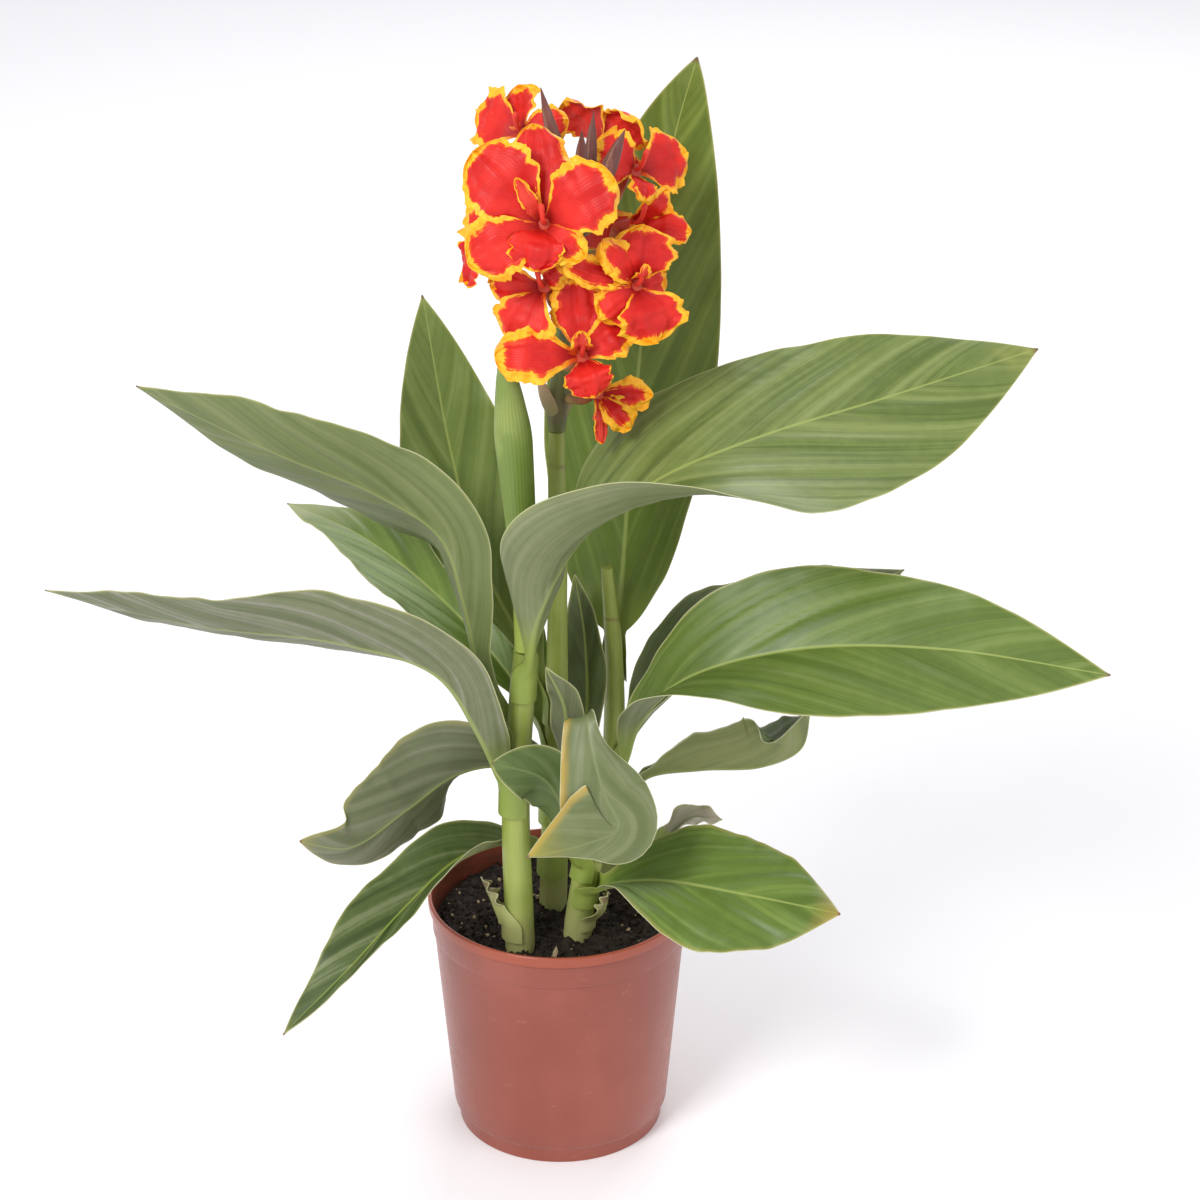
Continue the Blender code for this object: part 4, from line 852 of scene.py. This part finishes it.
# A petal follows a curve out of its tube. Its half width grows from the claw to the widest place
# and then closes as sqrt(1 - e^2.2), with a ragged margin, ruffles and creases towards the end.
def addPetal(build, throat, axes, petal, rng, gold, inner):
    tipRight, tipUp, tipOut, bow, width, widest = (*petal, petalShape["widest"])[:6]
    right, up, out = axes
    shape = petalShape
    reach = (right * tipRight + up * tipUp) / 1000
    away = unit(reach)
    tip = throat + reach + out * tipOut / 1000
    middle = throat + reach * 0.50 + out * (tipOut * 0.55 + bow) / 1000
    start = throat - out * 0.0026 + away * 0.0014
    fine, length = curveThrough([start, throat + away * 0.0040 + out * 0.0012, middle, tip],
                                shape["pathPoints"])
    u = 1 - (1 - evenly(shape["rows"])) ** 1.5
    path = readAt(u, evenly(shape["pathPoints"]), fine)
    q = np.linspace(-1, 1, shape["columns"] + 1)
    share = np.sign(q) * np.abs(q) ** 0.9
    wide = width / 2000 * (1.0 if inner else shape["fuller"])
    half = shape["claw"] + (wide - shape["claw"]) * ease(u / widest)
    ending = np.clip((u - widest) / (1 - widest), 0, 1)
    half = np.where(u > widest, wide * np.sqrt(np.maximum(1 - ending**2.2, 0)), half)
    ragged = np.stack([ripple(u, rng, (3, 6, 11, 17)), ripple(u, rng, (4, 7, 12, 19))], axis=1)
    half = np.maximum(half[:, None] * (1 + shape["raggedness"] * ragged * ease(u / 0.5)[:, None]), 0.0004)
    level = unit(out * np.linalg.norm(reach) - away * tipOut / 1000)
    blend = ease(u / 0.45)[:, None]
    faces = unit(level * blend - away * (1 - blend))
    cup = np.stack([18 * (1 - u)] * 2, axis=1)
    turn = (rng.uniform(-34, 26, 2) - 30)[None, :] * u[:, None]
    late = ease(u * 1.3)[:, None]
    margins = np.stack([ripple(u, rng, (2.3, 4.1, 6.7)), ripple(u, rng, (2.6, 4.7, 7.3))], axis=1)
    ruffle = bySide(share, margins) * np.abs(share)[None, :] ** 3
    crease = ripple(share * 0.5 + 0.5, rng, (2.2, 3.7, 6.1))[None, :] * (0.35 + 0.65 * u[:, None])
    folds = ripple(u, rng, (3.1, 5.3))[:, None] * np.cos(share * 2.1)[None, :]
    wave = shape["ruffle"] * ruffle + shape["crease"] * crease + shape["fold"] * folds
    wave = wave * late * min(1.0, width / 20)
    surface = bladeSurface(path, u, faces, half, cup, turn, share, wave)
    body = halfBody(share, len(u), shape["rimThickness"], shape["thickness"])
    fromSide = bySide(share, half) * (1 - np.abs(share))[None, :]
    margin = np.minimum(fromSide, (1 - u[:, None]) * length * 1.2) * 1000
    addShell(build, surface, body, body, lengthwise=u[:, None], across=share[None, :], margin=margin,
             gold=gold, inner=float(inner))


def petalFinish(name):
    finish = Finish(name, Specular_IOR_Level=0.35)
    lengthwise, across, margin = finish.read("lengthwise"), finish.read("across"), finish.read("margin")
    gold, inner, upper = finish.read("gold"), finish.read("inner"), finish.read("upper")
    cloud = finish.noise(55, 3, 0.55)
    flecks = finish.noise(330, 4, 0.6)
    # The border's inner side is notched by streaks that run out along the petal.
    notches = finish.noise(1.6, 3, 0.6, finish.combined(across * 5, lengthwise * 1.6, gold))
    ragged = margin + (cloud - 0.5) * 5.0 + (notches - 0.5) * 7.0 + (flecks - 0.5) * 2.2
    reachIn = gold * (lengthwise.between(0.15, 0.75) * 0.85 + 0.25)
    border = 1 - (ragged / reachIn).between(0.86, 1.04)
    orange = 1 - (ragged / reachIn).between(0.9, 1.4)
    fan = (across * 13 + cloud * 1.4).wave()
    red = finish.mix(cloud.between(0.35, 0.65), (196, 16, 12), (226, 40, 28))
    red = finish.mix(fan * 0.25, red, (176, 12, 12))
    red = finish.mix((1 - upper) * 0.3, red, (226, 70, 50))
    red = finish.mix(inner * 0.5, red, (228, 78, 60))
    red = finish.mix((1 - lengthwise.between(0.04, 0.40)) * 0.8, red, (128, 8, 8))
    yellow = finish.mix(flecks.between(0.35, 0.7), (250, 190, 40), (248, 166, 26))
    base = finish.mix(orange * 0.7, red, (236, 92, 20))
    base = finish.mix(border * lengthwise.between(0.12, 0.3), base, yellow)
    rough = cloud * 0.2 + 0.40
    return finish.surface(base, rough, fan * 0.5 + flecks * 0.35, 0.35, 0.0004)


def tubeFinish(name):
    finish = Finish(name, Specular_IOR_Level=0.4)
    streak = finish.noise(120, 4, 0.6, finish.place((1, 1, 0.4)))
    lengthwise = finish.read("lengthwise")
    base = finish.mix(lengthwise.between(0.1, 0.9), (176, 150, 96), (196, 60, 36))
    base = finish.mix(streak.between(0.4, 0.7) * 0.45, base, (140, 66, 50))
    return finish.surface(base, streak * 0.2 + 0.38, streak, 0.3, 0.0003)


def makeBloom(name, spec, seed, petalRed, tubeRed):
    rng = np.random.default_rng(seed)
    throat = np.array(spec["throat"]) / 1000
    angle = math.radians(spec["turn"])
    ahead = np.array([math.sin(angle), -math.cos(angle), 0.0])
    out = unit(ahead * 0.94 + np.array([0, 0, 0.34]))
    right = unit(np.cross([0, 0, 1], ahead))
    up = np.cross(out, right)
    foot, side = stalkSide(spec["fromHeight"] / 1000, throat, spec.get("spare", 0.5) / 1000)
    end = throat + out * 0.0006
    middle = foot * 0.45 + end * 0.55 - np.array([0, 0, 0.002])
    points = [foot, middle, throat - out * petalShape["tube"] * 1.1, end]
    path, _ = curveThrough(points, petalShape["tubePoints"], before=foot - side * 0.010)
    sides, t = 24, evenly(petalShape["tubePoints"])
    lobes = 1 + 0.07 * np.cos(3 * roundTurn(sides))[None, :]
    radii = np.interp(t, [0, 0.1, 0.25, 1], [0.0016, 0.0024, 0.0021, 0.0037])[:, None] * lobes
    build = Build()
    addTube(build, path, radii, sides, 1, lengthwise=t[:, None])
    for k, petal in enumerate(spec["petals"]):
        inner = petal[4] < petalShape["innerWidth"]
        if inner:
            gold = petalShape["innerGold"]
        else:
            gold = goldenPetals.get((name, k), rng.uniform(*petalShape["border"]))
        addPetal(build, throat, (right, up, out), petal, rng, gold, inner)
    # The pollen stalk: a slim rod out of the throat.
    tip = throat + out * 0.013 + up * 0.010 + right * rng.uniform(-0.003, 0.003)
    line, _ = curveThrough([throat - out * 0.001, throat + out * 0.006 + up * 0.002, tip], 24)
    radii = np.interp(evenly(24), [0, 0.6, 0.9, 1], [0.0011, 0.0013, 0.0017, 0.0004])
    addTube(build, line, radii, 14, lengthwise=0.6, margin=9.0, gold=0.3, inner=1.0, upper=1.0)
    build.piece(name + "_petals", [petalRed, tubeRed], name, 60)


petalRed = petalFinish("petalRed")
tubeRed = tubeFinish("tubeRed")
for seed, (name, spec) in enumerate(blooms.items()):
    makeBloom(name, spec, 60 + seed, petalRed, tubeRed)
print("blooms made:", len(blooms))


# The unopened buds near the top of the head: height on the stalk, tip, greatest radius.
buds = {
    "bud_left": (0.553, (-0.007, -0.005, 0.618), 0.0042),
    "bud_middle": (0.549, (0.014, -0.020, 0.600), 0.0044),
    "bud_back": (0.555, (0.020, 0.006, 0.602), 0.0034),
    "bud_right": (0.552, (0.036, -0.006, 0.596), 0.0046),
    "bud_low": (0.534, (0.004, -0.024, 0.580), 0.0038),
}
# Places along a bud, and the share of its radius at each.
budRadii = ((0, 0.10, 0.30, 0.55, 0.80, 1.0), (0.36, 0.80, 1.05, 1.0, 0.60, 0.05))
budColours = {"purple": (148, 96, 84), "shade": (104, 64, 58), "pale": (176, 140, 104),
              "tip": (104, 56, 50)}


def budFinish(name):
    finish = Finish(name, Specular_IOR_Level=0.4)
    streak = finish.noise(140, 4, 0.6, finish.place((1, 1, 0.12)))
    lengthwise = finish.read("lengthwise")
    seam = finish.read("seam")
    base = finish.mix(streak.between(0.38, 0.66), budColours["shade"], budColours["purple"])
    base = finish.mix((1 - lengthwise.between(0.05, 0.45)) * 0.7, base, budColours["pale"])
    base = finish.mix(seam * 0.6, base, budColours["pale"])
    base = finish.mix(lengthwise.between(0.75, 1.0) * 0.8, base, budColours["tip"])
    return finish.surface(base, streak * 0.25 + 0.36, streak * 0.6 + seam * 0.4, 0.35, 0.0003)


# A bud is three folded scales: its radius swells along it and steps where one scale laps the next.
def makeBud(name, height, tip, radius, finish):
    rows, sides = 60, 36
    foot, _ = stalkSide(height, tip, radius * 0.36 + 0.0003)
    t = evenly(rows)
    size = np.interp(t, *budRadii) * radius
    path = foot + (np.array(tip) - foot) * t[:, None]
    angle = roundTurn(sides)
    turn = (angle[None, :] * 3 / (2 * math.pi) + t[:, None] * 0.7) % 1.0
    lobes = 0.93 + 0.12 * turn**1.5
    build = Build()
    addTube(build, path, size[:, None] * lobes, sides, lengthwise=t[:, None],
            seam=np.exp(-(((turn - 0.96) / 0.05) ** 2)))
    build.piece(name + "_scales", [finish], name, 40)


budPurple = budFinish("budPurple")
for name, (height, tip, radius) in buds.items():
    makeBud(name, height, tip, radius, budPurple)
print("buds made:", len(buds))


# The flower stalk, with its swollen joint and the two bracts that stand on it.
stalkColours = {"pale": (132, 142, 84), "green": (84, 96, 50), "shade": (60, 64, 40),
                "foot": (132, 118, 96), "edge": (150, 136, 112)}
bracts = {"tips": [(0.011, 0.007, 0.462), (-0.010, -0.006, 0.464)], "foot": (0.001, -0.001, 0.436),
          "radii": [0.0030, 0.0036, 0.0034, 0.0028, 0.0018, 0.0004]}


def makeStalk(finish, bractFinish):
    rows, sides = 90, 36
    path, _ = curveThrough(stalk, rows)
    t = evenly(rows)
    radii = sum(np.interp(np.clip(t + s, 0, 1), *stalkRadii) for s in (-0.03, -0.015, 0, 0.015, 0.03)) / 5
    angle = roundTurn(sides)
    knobbly = 1 + 0.03 * np.cos(angle * 5)[None, :] * np.exp(-(((t - 0.1) / 0.06) ** 2))[:, None]
    build = Build()
    addTube(build, path, radii[:, None] * knobbly, sides,
            foot=np.exp(-(((t - 0.10) / 0.07) ** 2))[:, None], sheathEnd=0.0)
    foot = np.array(bracts["foot"])
    for tip in bracts["tips"]:
        line, _ = curveThrough([foot, (foot + tip) / 2 + np.array([0, -0.002, -0.003]), tip], 40)
        along = evenly(40)
        size = np.interp(along, evenly(6), bracts["radii"])
        addTube(build, line, size[:, None] * (1 + 0.12 * np.cos(angle * 2))[None, :], sides, 1,
                lengthwise=along[:, None])
    build.piece("flower_stalk_skin", [finish, bractFinish], "flower_stalk", 60)


def bractSkin(name):
    finish = Finish(name, Specular_IOR_Level=0.35)
    streak = finish.noise(130, 4, 0.6, finish.place((1, 1, 0.15)))
    lengthwise = finish.read("lengthwise")
    base = finish.mix(lengthwise.between(0.0, 0.9), (172, 166, 120), (196, 168, 140))
    base = finish.mix(streak.between(0.45, 0.7) * 0.5, base, (146, 132, 92))
    return finish.surface(base, streak * 0.2 + 0.45, streak, 0.3, 0.0003)


makeStalk(stemFinish("stalkGreen", stalkColours), bractSkin("bractPale"))


# The rolled leaf: r(angle) grows by one leaf's lap round the roll, and drops back at the seam.
spear = {
    "line": [(-0.017, -0.039, 0.3170), (-0.018, -0.037, 0.369), (-0.022, -0.036, 0.431),
             (-0.025, -0.036, 0.468), (-0.027, -0.037, 0.494)],
    "radii": ((0, 0.20, 0.45, 0.70, 0.85, 1), (0.0058, 0.0062, 0.0085, 0.0104, 0.0068, 0.0003)),
    "lap": 0.16,
    "seamTurn": 1.5,
}


def spearFinish(name):
    finish = Finish(name, Specular_IOR_Level=0.4)
    roll, lengthwise = finish.read("roll"), finish.read("lengthwise")
    cloud = finish.noise(30, 3, 0.55)
    fine = (roll * 30 + lengthwise * 8 + cloud).wave()
    base = finish.mix(cloud.between(0.38, 0.64), (116, 136, 62), (142, 156, 82))
    base = finish.mix(fine * 0.25, base, (92, 120, 44))
    base = finish.mix(roll.between(0.55, 0.95) * 0.35, base, (160, 182, 84))
    base = finish.mix(roll.between(0.965, 0.99) * 0.7, base, (206, 210, 156))
    base = finish.mix((1 - lengthwise.between(0.0, 0.30)) * 0.6, base, (168, 186, 84))
    return finish.surface(base, cloud * 0.2 + 0.34, fine * 0.6 + cloud * 0.4, 0.35, 0.0004)


def makeSpear(finish):
    rows, sides = 150, 64
    path, _ = curveThrough(spear["line"], rows)
    t = evenly(rows)
    radii = sum(np.interp(np.clip(t + s, 0, 1), *spear["radii"]) for s in np.linspace(-0.04, 0.04, 7)) / 7
    radii = np.minimum(radii, np.interp(t, [0.9, 1.0], [0.006, 0.0003]) + (t < 0.9))
    angle = roundTurn(sides)
    roll = (angle[None, :] / (2 * math.pi) + spear["seamTurn"] * 0.25 - t[:, None] * 0.35) % 1.0
    lobes = 1 - spear["lap"] / 2 + spear["lap"] * roll
    build = Build()
    addTube(build, path, radii[:, None] * lobes, sides, roll=roll, lengthwise=t[:, None])
    build.piece("leaf_spear_roll", [finish], "leaf_spear", 35)


makeSpear(spearFinish("spearGreen"))
print("stalk and rolled leaf made")


# The pot: the CAD's own sizes, with a rounder rim and softer edges.
pot = {
    "height": 0.145, "rim": 0.075, "bodyTop": 0.0716, "bodyBase": 0.0620, "ledge": 0.1235, "wall": 0.0014,
    "footTop": 0.0120, "footHeight": 0.0075, "foot": 0.0590, "floor": 0.0100, "sides": 256,
    "gapPlaces": (-44.5, -15.5), "gapWidths": (0.0155, 0.0120),  # in degrees; at the ground, at the top
    "outsideHeights": (0.095, 0.060, 0.030), "insideHeights": (0.040, 0.080),
    "footRound": (0.0003, 0.0112), "under": 0.0083,
    # Below the second of these heights the inner wall is painted darker: painted shade inside the pot.
    "rimColour": (0.1375, 0.001), "insideColour": (0.1425, 0.002),  # where each starts, and its fade
    # Each edge as (out from the radius that it belongs to, height).
    "rimInside": [(-0.0036, 0.1385), (-0.0024, 0.1428), (-0.0018, 0.1444)], "bead": 0.0012,
    "rimUnder": [(-0.0001, 0.1402), (-0.0004, 0.1388), (-0.0012, 0.1381)],
    "underRim": [(0.0013, 0.1374), (0.0009, 0.1249), (0.0006, 0.1240)],
    "footOutside": [(0.0009, 0.0090), (0.0006, 0.0082), (0, 0.0004), (-0.0004, 0)],
    "footInside": [(-0.0030, 0), (-0.0030, 0.0083)],
}


def wallRadius(height):
    share = (height - pot["footTop"]) / (pot["ledge"] - pot["footTop"])
    return pot["bodyBase"] + (pot["bodyTop"] - pot["bodyBase"]) * share


def potFinish(name):
    finish = Finish(name, Specular_IOR_Level=0.5)
    cloud = finish.noise(14, 3, 0.5)
    grain = finish.noise(420, 3, 0.6)
    flow = finish.noise(60, 4, 0.6, finish.place((1, 1, 0.08)))
    scuff = finish.noise(95, 5, 0.7, finish.place((1, 1, 2.4)))
    base = finish.mix(cloud.between(0.36, 0.64), (142, 70, 54), (152, 79, 63))
    base = finish.mix(flow.between(0.40, 0.66) * 0.25, base, (136, 66, 54))
    base = finish.mix(finish.read("rimShare") * 0.55, base, (168, 78, 48))
    base = finish.mix(scuff.between(0.62, 0.74) * 0.30, base, (186, 140, 126))
    # Painted shade: the inner wall is drawn in a darker copy of the pot colour, in patches.
    inside = finish.read("inside") * (scuff.between(0.4, 0.6) * 0.3 + 0.45)
    base = finish.mix(inside, base, (84, 48, 38))
    rough = grain * 0.10 + scuff.between(0.5, 0.75) * 0.15 + 0.27
    return finish.surface(base, rough, grain * 0.5 + flow * 0.5, 0.12, 0.0002)


def sweep(radius, height, angle):  # rings of points: each radius at its height, all the way round
    return np.stack([radius * np.cos(angle), radius * np.sin(angle), height * np.ones(len(angle))], axis=-1)


# A turned shape: each (radius, height) of the profile swept round the axis.
def makePot(finish):
    n = pot["sides"]
    heights = (pot["floor"] + 0.003, *pot["insideHeights"], pot["ledge"])
    inner = [(wallRadius(h) - pot["wall"], h) for h in heights]
    outer = [(wallRadius(h), h) for h in (pot["ledge"], *pot["outsideHeights"], pot["footTop"])]
    footIn, footTop = pot["footRound"]
    bead = pot["bead"]
    rimBead = [(pot["rim"] - bead + bead * math.cos(a), pot["height"] - bead + bead * math.sin(a))
               for a in np.radians(np.linspace(150, -10, 9))]
    off = lambda radius, edges: [(radius + out, height) for out, height in edges]
    profile = [(0.0001, pot["floor"]), (pot["bodyBase"] - 0.0032, pot["floor"]), *inner,
               *off(pot["rim"], pot["rimInside"]), *rimBead, *off(pot["rim"], pot["rimUnder"]),
               *off(pot["bodyTop"], pot["underRim"]), *outer, (wallRadius(0.011) - footIn, footTop),
               *off(pot["foot"], pot["footOutside"] + pot["footInside"]), (0.0001, pot["under"])]
    ring = np.array(profile[::-1])
    angle = (np.arange(n) + 0.5) * 2 * math.pi / n
    points = sweep(ring[:, :1], ring[:, 1:], angle)
    quads = gridQuads(len(ring), n, wrap=True)
    last = (len(ring) - 1) * n
    caps = [np.arange(n)[::-1][None, :], (last + np.arange(n))[None, :]]
    radius, height = ring.T
    # Where the painted shade inside the pot goes: the inner wall and the floor.
    inside = (radius < wallRadius(height) - 0.0006) & (height > pot["floor"] - 0.001)
    build = Build()
    (rimFrom, rimFade), (insideFrom, insideFade) = pot["rimColour"], pot["insideColour"]
    build.add(points, [quads, *caps], rimShare=np.repeat(ease((height - rimFrom) / rimFade), n),
              inside=np.repeat(inside * ease((insideFrom - height) / insideFade), n))
    made = build.piece("pot_shell", [finish], "pot", 35)
    cutGaps(made)


def cutGaps(made):  # eight gaps in the foot ring, each wider at the ground
    cutters = Build()
    for quarter in range(4):
        for place in pot["gapPlaces"]:
            a = math.radians(place + 90 * quarter - 90)
            corners = []
            for height, width in zip((-0.002, pot["footHeight"]), pot["gapWidths"]):
                for radius in (pot["foot"] - 0.010, pot["foot"] + 0.006):
                    for side in (-width / 2, width / 2):
                        corners.append((radius * math.cos(a) - side * math.sin(a),
                                        radius * math.sin(a) + side * math.cos(a), height))
            cutters.add(corners, [[(0, 2, 3, 1), (4, 5, 7, 6), (0, 1, 5, 4), (2, 6, 7, 3), (0, 4, 6, 2),
                                   (1, 3, 7, 5)]])
    mesh = bpy.data.meshes.new("footGaps")
    mesh.from_pydata(np.vstack(cutters.points).tolist(), [], cutters.faces)
    cutter = inScene("footGaps", mesh)
    cut = made.modifiers.new("footGaps", "BOOLEAN")
    cut.operation, cut.solver, cut.object = "DIFFERENCE", "EXACT", cutter
    bpy.context.view_layer.update()
    graph = bpy.context.evaluated_depsgraph_get()
    result = bpy.data.meshes.new_from_object(made.evaluated_get(graph))
    made.modifiers.clear()
    made.data = result
    bpy.data.objects.remove(cutter)


makePot(potFinish("potPlastic"))
print("pot made")


# The compost: a lumpy top made of waves in many directions, strewn with crumbs of many sizes.
soil = {
    "level": 0.1302, "edge": 0.0702, "rings": 70, "sides": 220, "seed": 7,
    # Crumbs: how many, sizes, how long for their width, and the share that are pale.
    "crumbs": (2600, (0.0004, 0.0017), 1.0, 0.035),
    "bark": (70, (0.0010, 0.0022), 1.9, 0.10),
    "waves": ((0.0010, 9), (0.0005, 14), (0.00028, 22)),
}


def soilHeight(x, y, rng):
    height = 0
    for size, waves in soil["waves"]:
        for _ in range(waves):
            turn, phase = rng.uniform(0, 2 * math.pi, 2)
            length = rng.uniform(0.5, 1.0) * 14 * size + 0.003
            along = x * math.cos(turn) + y * math.sin(turn)
            height = height + size / 3 * np.sin(along * 2 * math.pi / length + phase)
    return height


def soilFinish(name):
    finish = Finish(name, Specular_IOR_Level=0.25)
    lump = finish.noise(160, 5, 0.7)
    speck = finish.noise(900, 3, 0.6)
    pale = finish.read("pale")
    base = finish.mix(lump.between(0.35, 0.65), (26, 21, 18), (52, 42, 34))
    base = finish.mix(speck.between(0.62, 0.72) * 0.5, base, (92, 76, 60))
    base = finish.mix(pale, base, (168, 150, 118))
    return finish.surface(base, speck * 0.2 + 0.75, lump * 0.6 + speck * 0.4, 0.8, 0.0012)


# One rough twenty-sided stone, copied, stretched, turned and laid on the surface.
def addCrumbs(build, rng, count, sizes, long, pale, top):
    g = (1 + 5**0.5) / 2
    base = unit(np.array([(-1, g, 0), (1, g, 0), (-1, -g, 0), (1, -g, 0), (0, -1, g), (0, 1, g),
                          (0, -1, -g), (0, 1, -g), (g, 0, -1), (g, 0, 1), (-g, 0, -1), (-g, 0, 1)]))
    sidesOf = np.array([(0, 11, 5), (0, 5, 1), (0, 1, 7), (0, 7, 10), (0, 10, 11), (1, 5, 9), (5, 11, 4),
                        (11, 10, 2), (10, 7, 6), (7, 1, 8), (3, 9, 4), (3, 4, 2), (3, 2, 6), (3, 6, 8),
                        (3, 8, 9), (4, 9, 5), (2, 4, 11), (6, 2, 10), (8, 6, 7), (9, 8, 1)])
    reach = np.sqrt(rng.uniform(0, 1, count)) * (soil["edge"] - 0.002)
    where = rng.uniform(0, 2 * math.pi, count)
    x, y = reach * np.cos(where), reach * np.sin(where)
    size = sizes[0] + (sizes[1] - sizes[0]) * rng.uniform(0, 1, count) ** 3
    stretch = rng.uniform(0.6, 1.25, (count, 3)) * size[:, None]
    stretch[:, 0] *= long
    spin = rng.normal(size=(count, 4))
    spin /= np.linalg.norm(spin, axis=1, keepdims=True)
    w, i, j, k = spin.T
    turn = np.stack([1 - 2 * (j * j + k * k), 2 * (i * j - k * w), 2 * (i * k + j * w),
                     2 * (i * j + k * w), 1 - 2 * (i * i + k * k), 2 * (j * k - i * w),
                     2 * (i * k - j * w), 2 * (j * k + i * w), 1 - 2 * (i * i + j * j)], axis=-1)
    turn = turn.reshape(-1, 3, 3)
    rough = base[None] * rng.uniform(0.75, 1.2, (count, 12, 1)) * stretch[:, None, :]
    points = np.einsum("nij,nkj->nki", turn, rough)
    points += np.stack([x, y, top(x, y) + size * 0.35], axis=-1)[:, None, :]
    faces = (sidesOf[None] + (np.arange(count) * 12)[:, None, None]).reshape(-1, 3)
    build.add(points, [faces], pale=np.repeat(rng.uniform(0, 1, count) < pale, 12).astype(float))


def makeSoil(finish):
    seed = soil["seed"]
    top = lambda x, y: soil["level"] + soilHeight(x, y, np.random.default_rng(seed))
    n, rings = soil["sides"], soil["rings"]
    angle = roundTurn(n)
    radius = np.linspace(0.0003, 1, rings)[:, None] * soil["edge"]
    x, y = radius * np.cos(angle), radius * np.sin(angle)
    z = top(x, y) - 0.003 * ease((radius / soil["edge"] - 0.93) / 0.07)
    under = [(wallRadius(h) - pot["wall"] - 0.0004, h) for h in (0.1140, 0.060, pot["floor"] + 0.0036)]
    under += [(pot["bodyBase"] - 0.0045, pot["floor"] + 0.0004), (0.0003, pot["floor"] + 0.0004)]
    rest = np.array(under)
    points = np.concatenate([np.stack([x, y, z], axis=-1), sweep(rest[:, :1], rest[:, 1:], angle)])
    rows = len(points)
    caps = [np.arange(n)[None, :], ((rows - 1) * n + np.arange(n))[::-1][None, :]]
    build = Build()
    build.add(points, [gridQuads(rows, n, wrap=True)[:, ::-1], *caps], pale=0.0)
    rng = np.random.default_rng(seed + 1)
    addCrumbs(build, rng, *soil["crumbs"], top)
    addCrumbs(build, rng, *soil["bark"], top)
    build.piece("soil_crumbs", [finish], "soil", 30)


makeSoil(soilFinish("peat"))
print("compost made")


# The stage: pale floor and backdrop in one sweep, soft lights, and the photograph's camera.
stage = {
    "floor": colour(253, 252, 254),
    "world": (0.98, 0.98, 1.0, 1.0),
    "worldStrength": 0.72,
    "keyPlace": (-1.3, -1.9, 2.2), "keyPower": 52, "keySize": 0.95,
    "fillPlace": (1.9, -1.4, 1.2), "fillPower": 10, "fillSize": 1.6,
    "backPlace": (0.5, 1.8, 1.7), "backPower": 16, "backSize": 1.4,
}
photoView = {"place": (0.0232, -1.645, 1.095), "tilt": 65.0, "pixels": 3317, "frame": 1200, "sensor": 36.0}


def makeFloor():
    across = np.linspace(-9, 9, 3)
    turn = np.radians(np.linspace(0, 90, 24))
    line = [(-9.0, 0.0)] + [(4.0 + 3 * math.sin(a), 3 * (1 - math.cos(a))) for a in turn] + [(7.0, 9.0)]
    points = [(x, y, z) for y, z in line for x in across]
    mesh = bpy.data.meshes.new("floor")
    mesh.from_pydata(points, [], gridQuads(len(line), 3).tolist())
    finish = Finish("paleFloor", Specular_IOR_Level=0.2, Roughness=0.7)
    finish.shader.inputs["Base Color"].default_value = stage["floor"]
    mesh.materials.append(finish.material)
    mesh.shade_smooth()
    inScene("floor", mesh)


def makeLight(name, place, power, size, aim=(0, 0, 0.3)):
    lamp = bpy.data.lights.new(name, "AREA")
    lamp.energy, lamp.size = power, size
    made = inScene(name, lamp)
    made.location = place
    made.rotation_euler = (Vector(aim) - Vector(place)).to_track_quat("-Z", "Y").to_euler()


def makeCamera():
    lens = bpy.data.cameras.new("camera")
    lens.sensor_width = photoView["sensor"]
    lens.lens = photoView["pixels"] / photoView["frame"] * photoView["sensor"]
    lens.clip_end = 40
    made = inScene("camera", lens)
    made.location = photoView["place"]
    made.rotation_euler = (math.radians(photoView["tilt"]), 0, 0)
    bpy.context.scene.camera = made


makeFloor()
for name in ("key", "fill", "back"):
    makeLight(name, stage[name + "Place"], stage[name + "Power"], stage[name + "Size"])
world = bpy.data.worlds.new("studio")
world.use_nodes = True
world.node_tree.nodes["Background"].inputs["Color"].default_value = stage["world"]
world.node_tree.nodes["Background"].inputs["Strength"].default_value = stage["worldStrength"]
bpy.context.scene.world = world
bpy.context.scene.view_settings.view_transform = "Standard"
makeCamera()
print("stage made")
